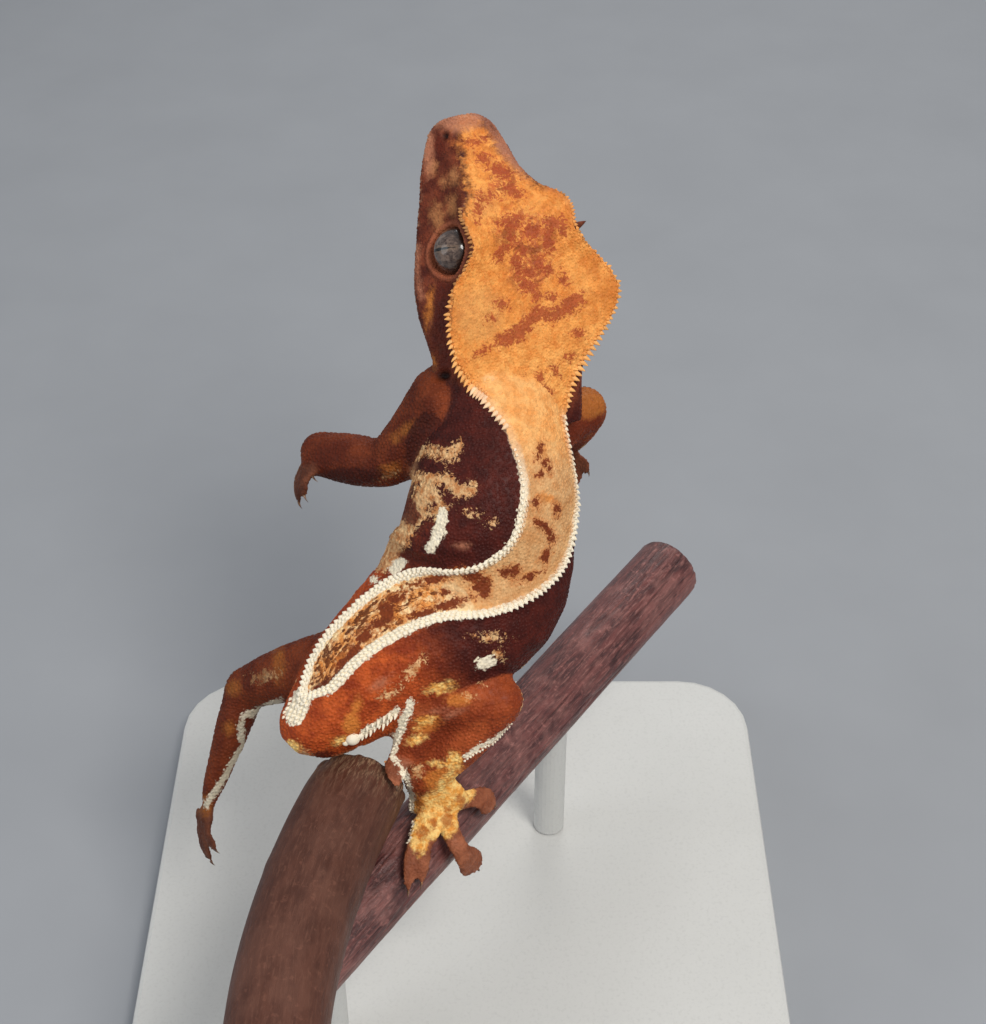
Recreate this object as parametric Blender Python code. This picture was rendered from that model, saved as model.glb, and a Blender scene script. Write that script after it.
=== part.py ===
"""A crested gecko at life size, climbing over two cut lengths of branch on a plain display stand.

Lengths are in millimetres until the last step, which makes them metres. +Z is up and the origin is the middle of
the stand's underside. The gecko climbs away from -Y, head up, so its back faces -Y and up.
"""

import math

import bmesh
import bpy
import numpy as np
from mathutils import Matrix, Vector

GAP = 0.3

# The pose is stated as it is seen from one viewpoint, 40 degrees above the horizontal and 260 mm from AIM:
# grid steps across and down, each 0.142 mm at AIM, and then millimetres nearer than AIM.
TILT = math.radians(40)
STEP = 0.142
REACH = 260.0
AIM = Vector((5.0, 4.0, 86.0))
MIDDLE = (493, 512)
RIGHT = Vector((1, 0, 0))
UP = Vector((0, math.sin(TILT), math.cos(TILT)))
NEAR = Vector((0, -math.cos(TILT), math.sin(TILT)))


def seen(across, down, near=0.0):
    k = STEP * (REACH - near) / REACH
    return AIM + RIGHT * ((across - MIDDLE[0]) * k) + UP * ((MIDDLE[1] - down) * k) + NEAR * near


def turned(right, up, near):
    return (RIGHT * right + UP * up + NEAR * near).normalized()


# Branches: a point on the axis, its direction, radius, and where it starts and ends along the axis.
THIN = {"at": seen(435, 824, -22.0), "dir": turned(0.601, 0.585, -0.545), "r": 6.0, "from": -34.0, "to": 66.0, "bow": 0.0}
THICK = {"at": seen(368, 763, -14.5), "dir": turned(-0.20, -0.68, 0.70), "r": 7.5, "from": 3.6, "to": 50.0, "bow": 2.4}


def branch_axis(branch, s):
    """A point on the branch's axis, which bows a little to the left."""
    u = (s - branch["from"]) / (branch["to"] - branch["from"])
    return branch["at"] + branch["dir"] * s - RIGHT * (branch["bow"] * 4 * u * (1 - u))


def on_branch(across, down, branch, clear):
    """The nearer point at this grid place that stands clear millimetres off the branch's surface."""
    want = branch["r"] + clear
    low, high = -60.0, 60.0
    eye = AIM + NEAR * REACH
    aim = seen(across, down) - eye
    axis, at = branch["dir"], branch["at"]

    def off(near):
        d = seen(across, down, near) - at
        return (d - axis * d.dot(axis)).length

    best = min((off(n), n) for n in np.linspace(low, high, 241))[1]
    if off(best) >= want:
        return seen(across, down, best)
    low, high = best, best + 40.0
    for _ in range(40):
        mid = 0.5 * (low + high)
        low, high = (mid, high) if off(mid) < want else (low, mid)
    return seen(across, down, low)


# Trunk sections from the tail stub to the nape: middle, roll of the back, half width, height above and below
# the middle, and half width of the band along the back.
TRUNK = [
    (seen(289, 745, -5.0), -34, 1.8, 1.7, 1.7, 0.0),
    (seen(296, 738, -5.2), -38, 3.7, 3.4, 3.4, 0.0),
    (seen(313, 724, -6.0), -42, 5.6, 5.4, 5.8, 0.4),
    (seen(338, 703, -7.0), -42, 7.5, 7.1, 7.4, 3.3),
    (seen(369, 674, -8.0), -42, 9.4, 8.8, 8.8, 4.3),
    (seen(405, 647, -9.0), -38, 11.4, 9.9, 9.9, 4.8),
    (seen(442, 618, -9.6), -26, 13.1, 10.5, 10.9, 4.9),
    (seen(472, 582, -9.8), 6, 14.0, 11.0, 11.4, 5.5),
    (seen(485, 543, -9.4), 41, 14.0, 11.7, 11.2, 6.6),
    (seen(488, 506, -8.8), 53, 13.3, 12.3, 10.7, 7.0),
    (seen(490, 470, -8.6), 55, 12.0, 12.0, 9.9, 7.0),
    (seen(493, 437, -8.4), 50, 10.8, 10.8, 9.2, 6.7),
    (seen(497, 407, -8.2), 43, 10.0, 9.2, 8.8, 6.7),
    (seen(503, 376, -8.2), 36, 9.6, 7.0, 8.2, 6.8),
]
RIDGE = 0.45
TAIL_ENDS, ABDOMEN_ENDS, CHEST_ENDS = 7.5, 33.0, 52.0

# The head's own axes start at the crown where the crest is widest; x runs forward to the snout.
HEAD_ORIGIN = seen(535, 321, -1.0)
HEAD_FORWARD = turned(-0.236, 0.970, 0.06)
HEAD_ROLL = 24
HEAD_BACK, HEAD_TIP = -15.5, 31.8
CREST_HALF = [(-16, 4.3), (-13.5, 5.1), (-9.4, 7.2), (-6.6, 9.5), (-3.8, 12.0), (-0.6, 13.75), (2, 14.3), (5, 13.4), (7.5, 11.8), (9.5, 9.8), (12, 8.4), (14.5, 8.7), (16.5, 8.7), (17.8, 7.7), (19, 6.1), (20.5, 5.4), (24, 4.1), (28, 2.9), (30.7, 2.2), (31.8, 1.4)]
CREST_HEIGHT = [(-16, -5.4), (-13, -4.6), (-9.4, -3.5), (-6.6, -2.5), (-3.8, -1.3), (-0.6, -0.2), (2, 0.5), (7, 1.1), (12, 2.6), (15, 2.2), (17.8, 0.9), (20, -0.9), (24, -3.1), (28, -5.0), (30.7, -6.0), (31.8, -7.0)]
CROWN_HEIGHT = [(-16, -4.4), (-9.4, -2.8), (-6.6, -1.9), (-3.8, -1.1), (0, -0.5), (4, -0.1), (8, 0.2), (12, 0.4), (15, 0.3), (18, -0.4), (20, -1.2), (25, -3.5), (28.5, -5.0), (30.7, -5.9), (31.8, -6.8)]
CHEEK_HALF = [(-16, 7.0), (-10, 9.4), (-4, 11.2), (2, 11.6), (6, 10.8), (10, 9.2), (14, 8.2), (18, 7.2), (24, 5.6), (28, 4.5), (30.7, 3.5), (31.8, 2.4)]
JAW_HALF = [(-16, 8.0), (-10, 10.4), (-5, 12.0), (0, 13.3), (3, 13.9), (7, 13.6), (12.5, 12.5), (16.4, 10.9), (21, 9.0), (26, 7.3), (28.5, 6.2), (30.7, 4.8), (31.8, 3.1)]
JAW_HEIGHT = [(-16, -7.0), (0, -8.6), (8, -9.2), (16, -9.4), (24, -9.3), (31.8, -8.6)]
THROAT_HEIGHT = [(-16, -13.4), (-8, -14.8), (0, -15.2), (7, -14.8), (14, -13.6), (22, -12.2), (27, -11.4), (29.5, -10.9), (31.8, -9.6)]
# The nape bends to the left as it runs into the neck.
NAPE_LEFT = [(-16, 0.8), (-13.7, 1.0), (-9.4, 1.5), (-6.6, 1.55), (-3.8, 1.0), (-0.6, -0.05), (2, -0.5), (5, -0.4), (7.5, -0.3), (9.5, -0.4), (12, -0.6), (14.5, -0.5), (17.8, -0.2), (21, 0.0), (31.2, 0.0)]
EYE = {"x": 12.2, "left": 7.25, "up": -3.9, "r": 3.6}

DIGIT_HALF_WIDTH = [(0.0, 1.45), (0.2, 1.3), (0.36, 1.3), (0.55, 1.6), (0.74, 1.7), (0.9, 1.15), (1.0, 0.3)]
DIGIT_HALF_THICK = [(0.0, 0.85), (0.3, 0.72), (0.6, 0.62), (0.85, 0.5), (1.0, 0.18)]


def fan(palm, up, forward, half, spec):
    """Digits that spread from a palm: each spec is the angle to the palm's left, the length, the knuckle's rise and the tip's drop."""
    side = up.cross(forward).normalized()
    forward = side.cross(up).normalized()
    out = []
    for angle, length, rise, drop in spec:
        d = forward * math.cos(math.radians(angle)) + side * math.sin(math.radians(angle))
        out.append((palm + d * half * 0.3, palm + d * (half * 0.3 + length * 0.5) + up * rise, palm + d * (half * 0.3 + length) - up * drop, 1.0, False))
    return out


def limb(root, mid, end, radii, palm, half, up, digits, bulge=0.0, scale=1.0, back=None):
    up = up.normalized()
    forward = (palm - end).normalized()
    if digits and len(digits[0]) == 4:
        digits = fan(palm, up, forward if back is None else back, half, digits)
    return {"root": root, "mid": mid, "end": end, "radii": radii, "palm": palm, "half": half, "up": up, "digits": digits, "bulge": bulge, "scale": scale}


def right_foot_digits():
    """The foot that grips: every digit lies over the thin branch or hangs just off it."""
    grip = lambda a, d, clear: on_branch(a, d, THIN, clear)
    return [
        (grip(418, 790, 2.2), on_branch(397, 766, THICK, 1.5), on_branch(397, 789, THICK, 1.1), 1.25, False),
        (grip(423, 820, 2.2), grip(411, 852, 2.1), grip(408, 894, 1.2), 0.66, True),
        (grip(431, 822, 2.3), grip(425, 852, 2.7), grip(421, 886, 1.6), 0.66, True),
        (grip(446, 822, 2.2), grip(458, 846, 2.8), seen(479, 870, -22.0), 1.32, True),
        (grip(454, 802, 2.2), grip(473, 798, 2.6), grip(496, 806, 1.1), 1.2, True),
    ]


LIMBS = {
    "right_hind": limb(seen(396, 700, -8.0), seen(499, 701, -5.0), seen(430, 770, -11.0), (5.2, 5.0, 3.8, 3.9, 3.4),
                       on_branch(439, 803, THIN, 2.5), 4.9, turned(-0.1, 0.1, 1.0), right_foot_digits(), 0.8, 1.12),
    "left_hind": limb(seen(333, 664, -11.0), seen(246, 688, -20.0), seen(210, 797, -25.0), (5.2, 4.3, 3.4, 2.7, 1.6),
                      seen(206, 816, -26.0), 2.6, turned(-0.92, 0.0, 0.4), [(-62, 5.6, 0.2, 0.6), (-28, 6.6, 0.2, 0.8), (0, 6.8, 0.3, 1.0), (26, 6.6, 0.2, 0.9), (64, 5.8, 0.2, 0.6)], 0.4, 0.85),
    "left_fore": limb(seen(450, 410, -7.5), seen(385, 465, -12.0), seen(322, 454, -19.0), (7.0, 5.2, 3.6, 3.9, 3.5),
                      seen(312, 461, -20.0), 3.2, turned(-0.85, 0.45, 0.25), [(-60, 4.6, 0.3, 0.8), (-28, 5.6, 0.3, 1.2), (2, 5.8, 0.3, 1.4), (32, 5.4, 0.3, 1.2), (66, 4.4, 0.3, 0.8)], 0.3, 1.12,
                      turned(-0.02, -0.99, -0.1)),
    "right_fore": limb(seen(528, 440, -15.0), seen(583, 410, -22.0), seen(570, 438, -35.0), (5.4, 4.4, 3.9, 3.5, 2.7),
                       seen(566, 448, -38.0), 2.7, turned(0.5, 0.5, -0.7), [(-60, 4.8, 0.3, 0.8), (-28, 5.8, 0.3, 1.2), (2, 6.2, 0.3, 1.4), (32, 5.6, 0.3, 1.2), (66, 4.8, 0.3, 0.8)], 0.3, 0.86,
                       turned(0.0, -0.75, -0.66)),
}
# A fold of skin behind the right thigh and shank: a rounded knob above, then a low edge down to the heel.
FOLD = [(seen(411, 703, -1.6), 1.3), (seen(404, 720, -2.7), 0.68), (seen(397, 738, -4.9), 0.6), (seen(393, 755, -7.4), 0.58), (seen(404, 775, -9.3), 0.62)]
# The flesh that fills the angle between that fold and the shank.
CALF = [(seen(428, 722, -6.0), 2.6), (seen(415, 742, -7.8), 3.1), (seen(413, 760, -9.2), 2.7), (seen(422, 780, -10.4), 2.3)]

BASE = (104.0, 100.0, 6.0)
ROD_R = 2.6
RODS = {"stand_rod_front": (THICK, 20.0), "stand_rod_back": (THIN, 31.0)}


def along(keys, x):
    """Smooth value at x of a profile given as (x, value...) rows, eased between them with matched slopes."""
    k = np.array(keys, float)
    xs, ys = k[:, 0], k[:, 1:]
    slope = np.gradient(ys, xs, axis=0) if len(xs) > 2 else np.repeat(np.diff(ys, axis=0) / np.diff(xs)[:, None], 2, axis=0)
    i = int(np.clip(np.searchsorted(xs, x) - 1, 0, len(xs) - 2))
    h = xs[i + 1] - xs[i]
    t = min(max((x - xs[i]) / h, 0.0), 1.0)
    v = (2 * t**3 - 3 * t**2 + 1) * ys[i] + (t**3 - 2 * t**2 + t) * h * slope[i] + (3 * t**2 - 2 * t**3) * ys[i + 1] + (t**3 - t**2) * h * slope[i + 1]
    return float(v[0]) if len(v) == 1 else v


def frame_at(forward, roll):
    """Left, up and forward axes of a section whose back faces the viewpoint, rolled about forward."""
    f = forward.normalized()
    up0 = (NEAR - f * NEAR.dot(f)).normalized()
    side = f.cross(up0)
    up = up0 * math.cos(math.radians(roll)) + side * math.sin(math.radians(roll))
    return up.cross(f), up, f


def trunk_line(step):
    """Middles, axes and sizes of the trunk's sections every step along it."""
    rows = np.array([[*p, r, a, b, c, w] for p, r, a, b, c, w in TRUNK])
    knots = np.concatenate([[0], np.cumsum(np.linalg.norm(np.diff(rows[:, :3], axis=0), axis=1))])
    keys = np.column_stack([knots, rows])
    s = np.linspace(0, knots[-1], max(2, int(round(knots[-1] / step)) + 1))
    at = np.array([along(keys, x) for x in s])
    tangent = np.gradient(at[:, :3], s, axis=0)
    return s, at, [frame_at(Vector(t), r) for t, r in zip(tangent, at[:, 3])]


def trunk_ring(row, axes, n, grow=0.0):
    """A rounded loaf of a section, with a low ridge each side of the band along the back."""
    _, _, _, _, a, b, c, w = row
    a, b, c = a + grow, b + grow, c + grow
    left, up, _ = axes
    ring = []
    for i in range(n):
        th = 2 * math.pi * (i + 0.5) / n
        cs, sn = math.cos(th), math.sin(th)
        x = a * math.copysign(abs(sn) ** 0.93, sn)
        z = (b if cs > 0 else c) * math.copysign(abs(cs) ** 0.93, cs)
        if cs > 0 and w > 0.5:
            z += RIDGE * math.exp(-(((abs(x) - w) / 0.9) ** 2))
        ring.append(Vector(row[:3]) + left * x + up * z)
    return ring


def head_axes():
    left, up, f = frame_at(HEAD_FORWARD, HEAD_ROLL)
    return left, up, f


def head_point(x, left, up):
    l, u, f = head_axes()
    return HEAD_ORIGIN + f * x + l * left + u * up


def head_ring(x, n, place=None):
    """The head's section at x: crown, crest edge, hollow cheek, jaw, throat; evenly spaced points."""
    at = min(x, HEAD_TIP)
    wc, ze, zt = along(CREST_HALF, at), along(CREST_HEIGHT, at), along(CROWN_HEIGHT, at)
    wj, zj, wm, zb = along(JAW_HALF, at), along(JAW_HEIGHT, at), along(CHEEK_HALF, at), along(THROAT_HEIGHT, at)
    zm = 0.55 * ze + 0.45 * zj
    half = [(0.0, zt), (0.42 * wc, zt + 0.1 * (ze - zt)), (0.78 * wc, 0.45 * zt + 0.55 * ze), (wc, ze),
            (0.45 * wc + 0.55 * wm, 0.6 * ze + 0.4 * zm), (wm, zm), (0.4 * wm + 0.6 * wj, 0.42 * zm + 0.58 * zj),
            (wj, zj), (0.86 * wj, 0.55 * zj + 0.45 * zb), (0.48 * wj, 0.1 * zj + 0.9 * zb), (0.0, zb)]
    loop = half + [(-p[0], p[1]) for p in half[-2:0:-1]]
    m, dense = len(loop), []
    for i in range(m):
        p0, p1, p2, p3 = (np.array(loop[(i + k - 1) % m]) for k in range(4))
        for t in np.arange(8) / 8:
            dense.append(0.5 * (2 * p1 + (p2 - p0) * t + (2 * p0 - 5 * p1 + 4 * p2 - p3) * t * t + (3 * p1 - p0 - 3 * p2 + p3) * t**3))
    loop = np.vstack([dense, dense[:1]])
    run = np.concatenate([[0], np.cumsum(np.linalg.norm(np.diff(loop, axis=0), axis=1))])
    at = np.linspace(0, run[-1], n, endpoint=False) + 0.5 * run[-1] / n
    shift = along(NAPE_LEFT, x)
    return [head_point(x, shift + np.interp(v, run, loop[:, 0]), np.interp(v, run, loop[:, 1])) for v in at]


def skinned(rings):
    """One closed mesh over a list of rings, each end closed with a fan."""
    bm = bmesh.new()
    rows = [[bm.verts.new(p) for p in ring] for ring in rings]
    n = len(rows[0])
    for a, b in zip(rows, rows[1:]):
        for i in range(n):
            bm.faces.new((a[i], a[(i + 1) % n], b[(i + 1) % n], b[i]))
    for row, first in ((rows[0], True), (rows[-1], False)):
        mid = bm.verts.new(sum((v.co for v in row), Vector()) / n)
        for i in range(n):
            a, b = (row[(i + 1) % n], row[i]) if first else (row[i], row[(i + 1) % n])
            bm.faces.new((a, b, mid))
    bmesh.ops.triangulate(bm, faces=bm.faces)
    bmesh.ops.recalc_face_normals(bm, faces=bm.faces)
    return bm


def tube(points, radii, up, n=12, flat=1.0, step=3.2, grow=0.0):
    """Rings along a smooth run of points with these radii and round ends; flat thins it along up."""
    pts = [Vector(p) for p in points]
    knots = np.concatenate([[0], np.cumsum([(b - a).length for a, b in zip(pts, pts[1:])])])
    keys = np.column_stack([knots, np.array([[*p, r] for p, r in zip(pts, radii)])])
    total = knots[-1]
    ends = (0.45, 1.05)
    places = [(0.0, -math.cos(a), math.sin(a)) for a in ends]
    places += [(s, 0.0, 1.0) for s in np.linspace(0, total, max(3, int(round(total / step)) + 1))]
    places += [(total, math.cos(a), math.sin(a)) for a in ends[::-1]]
    rings = []
    for s, cap, k in places:
        v = along(keys, s)
        near, far = along(keys, max(s - 0.3, 0)), along(keys, min(s + 0.3, total))
        f = (Vector(far[:3]) - Vector(near[:3])).normalized()
        side = up.cross(f).normalized()
        nrm = f.cross(side)
        r = v[3] + grow
        thick = flat * v[3] + grow
        c = Vector(v[:3]) + f * (cap * (min(r, thick) if flat < 0.7 else r))
        rings.append([c + side * (math.cos(t) * r * k) + nrm * (math.sin(t) * thick * k) for t in np.linspace(0, 2 * math.pi, n, endpoint=False)])
    return rings


def digit_rings(base, knuckle, tip, up, scale, wide=1.0, hold=None, n=12, count=12):
    """A digit: a narrow stalk, then a leaf-shaped pad that comes to a point, lying flat on the branch that it holds."""
    pts = [Vector(base), Vector(knuckle), Vector(tip)]
    knots = [0, (pts[1] - pts[0]).length, (pts[1] - pts[0]).length + (pts[2] - pts[1]).length]
    keys = np.column_stack([knots, np.array([list(p) for p in pts])])
    rings = []
    for u in np.linspace(0.0, 1.0, count):
        s = u * knots[2]
        near, far = along(keys, max(s - 0.3, 0)), along(keys, min(s + 0.3, knots[2]))
        f = (Vector(far) - Vector(near)).normalized()
        c = Vector(along(keys, s))
        lean = up
        if hold:
            d = c - hold["at"]
            lean = up.lerp((d - hold["dir"] * d.dot(hold["dir"])).normalized(), min(1.0, 2.2 * u))
        side = lean.cross(f).normalized()
        nrm = f.cross(side)
        half, thick = along(DIGIT_HALF_WIDTH, u) * scale * (1 + (wide - 1) * min(1.0, 2 * u)), along(DIGIT_HALF_THICK, u) * scale
        rings.append([c + side * (math.cos(t) * half) + nrm * (math.sin(t) * thick * (1.0 if math.sin(t) > 0 else 0.7)) for t in np.linspace(0, 2 * math.pi, n, endpoint=False)])
    return rings


def segment_rings(g, grow=0.0, n=13):
    """The upper and the lower segment of a limb."""
    root, mid, end, r, up = g["root"], g["mid"], g["end"], g["radii"], g["up"]
    full = (mid - root).normalized()
    across = full.cross((end - mid).normalized())
    lift = across.cross(full).normalized() * -g["bulge"] if across.length > 1e-3 else Vector()
    normal = (mid - root).cross(end - mid).normalized()
    upper = tube([root, root.lerp(mid, 0.5) + lift, mid], (r[0], r[1], r[2]), normal, n, grow=grow)
    lower = tube([mid, mid.lerp(end, 0.38), end], (r[2] * 0.98, r[3], r[4]), normal, n, grow=grow)
    return upper, lower


def foot_rings(g):
    """Palm, webs and digits of one foot, as overlapping closed shells."""
    end, palm, half, up = g["end"], g["palm"], g["half"], g["up"]
    shells = [tube([end, end.lerp(palm, 0.55), palm], (g["radii"][4] * 0.9, half * 0.82, half), up, 14, flat=0.42, step=1.2)]
    for base, knuckle, tip, wide, holds in g["digits"]:
        shells.append(digit_rings(base, knuckle, tip, up, g["scale"], wide, THIN if holds else None))
        shells.append(tube([palm, palm.lerp(knuckle, 0.75)], (half * 0.55, 1.2 * g["scale"]), up, 10, flat=0.55, step=1.5))
    return shells


def scene_object(name, bm):
    mesh = bpy.data.meshes.new(name)
    bm.to_mesh(mesh)
    bm.free()
    obj = bpy.data.objects.new(name, mesh)
    bpy.context.scene.collection.objects.link(obj)
    return obj


WHOLE = {}


def swollen(obj, by):
    """The object as it was before any cut, grown outwards, to cut a neighbour with."""
    bm = bmesh.new()
    bm.from_mesh(WHOLE.get(obj.name, obj.data))
    bm.normal_update()
    for v, n in [(v, v.normal.copy()) for v in bm.verts]:
        v.co += n * by
    return scene_object(obj.name + "_cutter", bm)


def applied(obj):
    """Replaces the object's mesh with its evaluated one."""
    graph = bpy.context.evaluated_depsgraph_get()
    graph.update()
    mesh = bpy.data.meshes.new_from_object(obj.evaluated_get(graph))
    old = obj.data
    obj.modifiers.clear()
    obj.data = mesh
    bpy.data.meshes.remove(old)
    return obj


def biggest_piece(obj):
    """Drops the crumbs that a cut leaves."""
    bm = bmesh.new()
    bm.from_mesh(obj.data)
    bm.verts.ensure_lookup_table()
    seen_verts, groups = set(), []
    for v in bm.verts:
        if v.index in seen_verts:
            continue
        stack, group = [v], []
        seen_verts.add(v.index)
        while stack:
            w = stack.pop()
            group.append(w)
            for e in w.link_edges:
                o = e.other_vert(w)
                if o.index not in seen_verts:
                    seen_verts.add(o.index)
                    stack.append(o)
        groups.append(group)
    groups.sort(key=lambda g: max((a.co - b.co).length for a in g[:: 1 + len(g) // 40] for b in g[:: 1 + len(g) // 40]))
    for group in groups[:-1]:
        bmesh.ops.delete(bm, geom=group, context="VERTS")
    bm.to_mesh(obj.data)
    bm.free()
    return obj


def cut(obj, *others, by=GAP):
    """Takes each of the others, grown by the gap, out of the object."""
    WHOLE.setdefault(obj.name, obj.data.copy())
    for other in others:
        cutter = swollen(other, by)
        modifier = obj.modifiers.new("Cut", "BOOLEAN")
        modifier.operation, modifier.solver, modifier.object = "DIFFERENCE", "EXACT", cutter
        applied(obj)
        mesh = cutter.data
        bpy.data.objects.remove(cutter)
        bpy.data.meshes.remove(mesh)
        biggest_piece(obj)
    return obj


def moulded(name, shells, voxel, triangles, smooth=2):
    """One closed body from overlapping shells."""
    bm = bmesh.new()
    for rings in shells:
        part = skinned(rings)
        mesh = bpy.data.meshes.new("shell")
        part.to_mesh(mesh)
        part.free()
        bm.from_mesh(mesh)
        bpy.data.meshes.remove(mesh)
    obj = scene_object(name, bm)
    remesh = obj.modifiers.new("Remesh", "REMESH")
    remesh.mode, remesh.voxel_size = "VOXEL", voxel
    soften = obj.modifiers.new("Smooth", "SMOOTH")
    soften.factor, soften.iterations = 0.5, smooth
    applied(obj)
    biggest_piece(obj)
    obj.data.calc_loop_triangles()
    thin_out = obj.modifiers.new("Decimate", "DECIMATE")
    thin_out.ratio = min(1.0, triangles / len(obj.data.loop_triangles))
    thin_out.use_collapse_triangulate = True
    return applied(obj)


def ball(name, centre, r, u=16, v=8, squash=1.0, axis=None):
    bm = bmesh.new()
    bmesh.ops.create_uvsphere(bm, u_segments=u, v_segments=v, radius=r)
    if axis is not None:
        turn = Vector((0, 0, 1)).rotation_difference(axis).to_matrix().to_4x4()
        bmesh.ops.transform(bm, matrix=Matrix.Translation(centre) @ turn, verts=bm.verts)
    bmesh.ops.triangulate(bm, faces=bm.faces)
    return scene_object(name, bm)


def branch_rings(branch, n, step, wander, knots):
    """A branch with a slightly uneven girth and rounded, worn ends."""
    a = branch["dir"]
    side = a.orthogonal().normalized()
    top = a.cross(side)
    lo, hi = branch["from"], branch["to"]
    rings = []
    spots = [lo, lo + 0.5] + list(np.linspace(lo + 1.6, hi - 1.6, max(3, int((hi - lo) / step)))) + [hi - 0.5, hi]
    for s in spots:
        rim = min(s - lo, hi - s)
        k = 0.9 if rim < 0.1 else 0.97 if rim < 0.6 else 1.0
        ring = []
        for t in np.linspace(0, 2 * math.pi, n, endpoint=False):
            girth = branch["r"] * k * (1 - wander + wander * math.sin(knots * t + 0.09 * s) * math.cos(0.13 * s + 2 * t))
            ring.append(branch_axis(branch, s) + side * (math.cos(t) * girth) + top * (math.sin(t) * girth))
        rings.append(ring)
    return rings


def material(name, colour, rough, metal=0.0):
    made = bpy.data.materials.new(name)
    made.use_nodes = True
    shader = made.node_tree.nodes["Principled BSDF"]
    shader.inputs["Base Color"].default_value = (*colour, 1)
    shader.inputs["Roughness"].default_value = rough
    shader.inputs["Metallic"].default_value = metal
    made.diffuse_color = (*colour, 1)
    return made


def main():
    for obj in list(bpy.data.objects):
        bpy.data.objects.remove(obj)
    nodes = {}

    s, rows, axes = trunk_line(2.9)
    full, total = trunk_line(0.25), s[-1]
    spans = {"tail_stub": (0, TAIL_ENDS), "abdomen": (TAIL_ENDS + GAP, ABDOMEN_ENDS), "chest": (ABDOMEN_ENDS + GAP, CHEST_ENDS), "neck": (CHEST_ENDS + GAP, total)}
    for name, (lo, hi) in spans.items():
        stops = np.linspace(lo, hi, max(3, int(round((hi - lo) / (1.9 if name == "tail_stub" else 2.8))) + 1))
        rings = []
        for stop in stops:
            i = int(np.argmin(abs(full[0] - stop)))
            rings.append(trunk_ring(full[1][i], full[2][i], 25))
        nodes[name] = scene_object(name, skinned(rings))
    xs = np.concatenate([np.linspace(HEAD_BACK, 27.0, 19), [28.6, 29.8, 30.7, HEAD_TIP]])
    nodes["head"] = scene_object("head", skinned([head_ring(x, 34) for x in xs]))
    left, up, forward = head_axes()
    for name, way in (("eye_left", 1), ("eye_right", -1)):
        nodes[name] = ball(name, head_point(EYE["x"], way * EYE["left"], EYE["up"]), EYE["r"], axis=left)
    cut(nodes["head"], nodes["eye_left"], nodes["eye_right"])
    cut(nodes["neck"], nodes["head"])
    cut(nodes["chest"], nodes["head"])

    torso = {"hind": ("abdomen", "tail_stub"), "fore": ("chest", "neck", "head")}
    names = {"hind": ("thigh", "shank", "foot"), "fore": ("upper_arm", "forearm", "hand")}
    for key, g in LIMBS.items():
        side, end = key.split("_")
        upper, lower = segment_rings(g)
        first, second, third = (f"{n}_{side}" for n in names[end])
        nodes[first] = scene_object(first, skinned(upper))
        cut(nodes[first], *(nodes[n] for n in torso[end]))
        if key == "right_hind":
            fold = tube([p for p, _ in FOLD], [r for _, r in FOLD], NEAR, 10)
            calf = tube([p for p, _ in CALF], [r for _, r in CALF], NEAR, 12)
            nodes[second] = moulded(second, [lower, fold, calf], 0.4, 400)
        else:
            nodes[second] = scene_object(second, skinned(lower))
        cut(nodes[second], nodes[first], *(nodes[n] for n in torso[end]))
        nodes[third] = moulded(third, foot_rings(g), 0.33, 504 if key == "right_hind" else 318)
        cut(nodes[third], nodes[second])

    for name, branch, wander, ridges in (("perch_thin", THIN, 0.02, 5), ("perch_thick", THICK, 0.025, 3)):
        nodes[name] = scene_object(name, skinned(branch_rings(branch, 16, 10.0, wander, ridges)))
    cut(nodes["foot_right"], nodes["perch_thin"], nodes["perch_thick"])

    bm = bmesh.new()
    bmesh.ops.create_cube(bm, size=1, matrix=Matrix.Translation((0, 0, BASE[2] / 2)) @ Matrix.Diagonal((*BASE, 1)))
    uprights = [e for e in bm.edges if abs((e.verts[0].co - e.verts[1].co).z) > 1]
    bmesh.ops.bevel(bm, geom=uprights, offset=12.0, segments=6, profile=0.5, affect="EDGES")
    rims = [e for e in bm.edges if all(v.co.z > BASE[2] - 0.01 for v in e.verts)]
    bmesh.ops.bevel(bm, geom=rims, offset=0.8, segments=2, profile=0.5, affect="EDGES")
    bmesh.ops.triangulate(bm, faces=bm.faces)
    nodes["stand_base"] = scene_object("stand_base", bm)
    for name, (branch, place) in RODS.items():
        foot = branch_axis(branch, place)
        bm = bmesh.new()
        height = foot.z - BASE[2] - GAP
        where = Matrix.Translation((foot.x, foot.y, BASE[2] + GAP + height / 2))
        bmesh.ops.create_cone(bm, cap_ends=True, segments=24, radius1=ROD_R, radius2=ROD_R, depth=height, matrix=where)
        bmesh.ops.triangulate(bm, faces=bm.faces)
        nodes[name] = scene_object(name, bm)
        cut(nodes[name], nodes["perch_thin"], nodes["perch_thick"])

    skin = material("gecko_skin", (0.42, 0.13, 0.04), 0.6)
    eye = material("gecko_eye", (0.12, 0.10, 0.09), 0.15)
    wood_thin = material("thin_branch", (0.20, 0.07, 0.06), 0.45)
    wood_thick = material("thick_branch", (0.13, 0.06, 0.045), 0.6)
    stand = material("stand_paint", (0.42, 0.42, 0.41), 0.5)
    shrink = Matrix.Scale(0.001, 4)
    for name, obj in nodes.items():
        obj.data.transform(shrink)
        coat = eye if name.startswith("eye") else stand if name.startswith("stand") else wood_thin if name == "perch_thin" else wood_thick if name == "perch_thick" else skin
        obj.data.materials.clear()
        obj.data.materials.append(coat)
        if not name.startswith("stand"):
            for face in obj.data.polygons:
                face.use_smooth = True


main()
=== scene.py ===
"""The looks of a crested gecko on two cut branches: one skin over the whole animal, its scales, crest, eyes and claws,
the bark of the branches and the paint of the stand. Shapes are worked out in millimetres and scaled to metres."""

import math

import bmesh
import bpy
import numpy as np
from mathutils import Matrix, Vector
from mathutils.bvhtree import BVHTree
from mathutils.kdtree import KDTree


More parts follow.
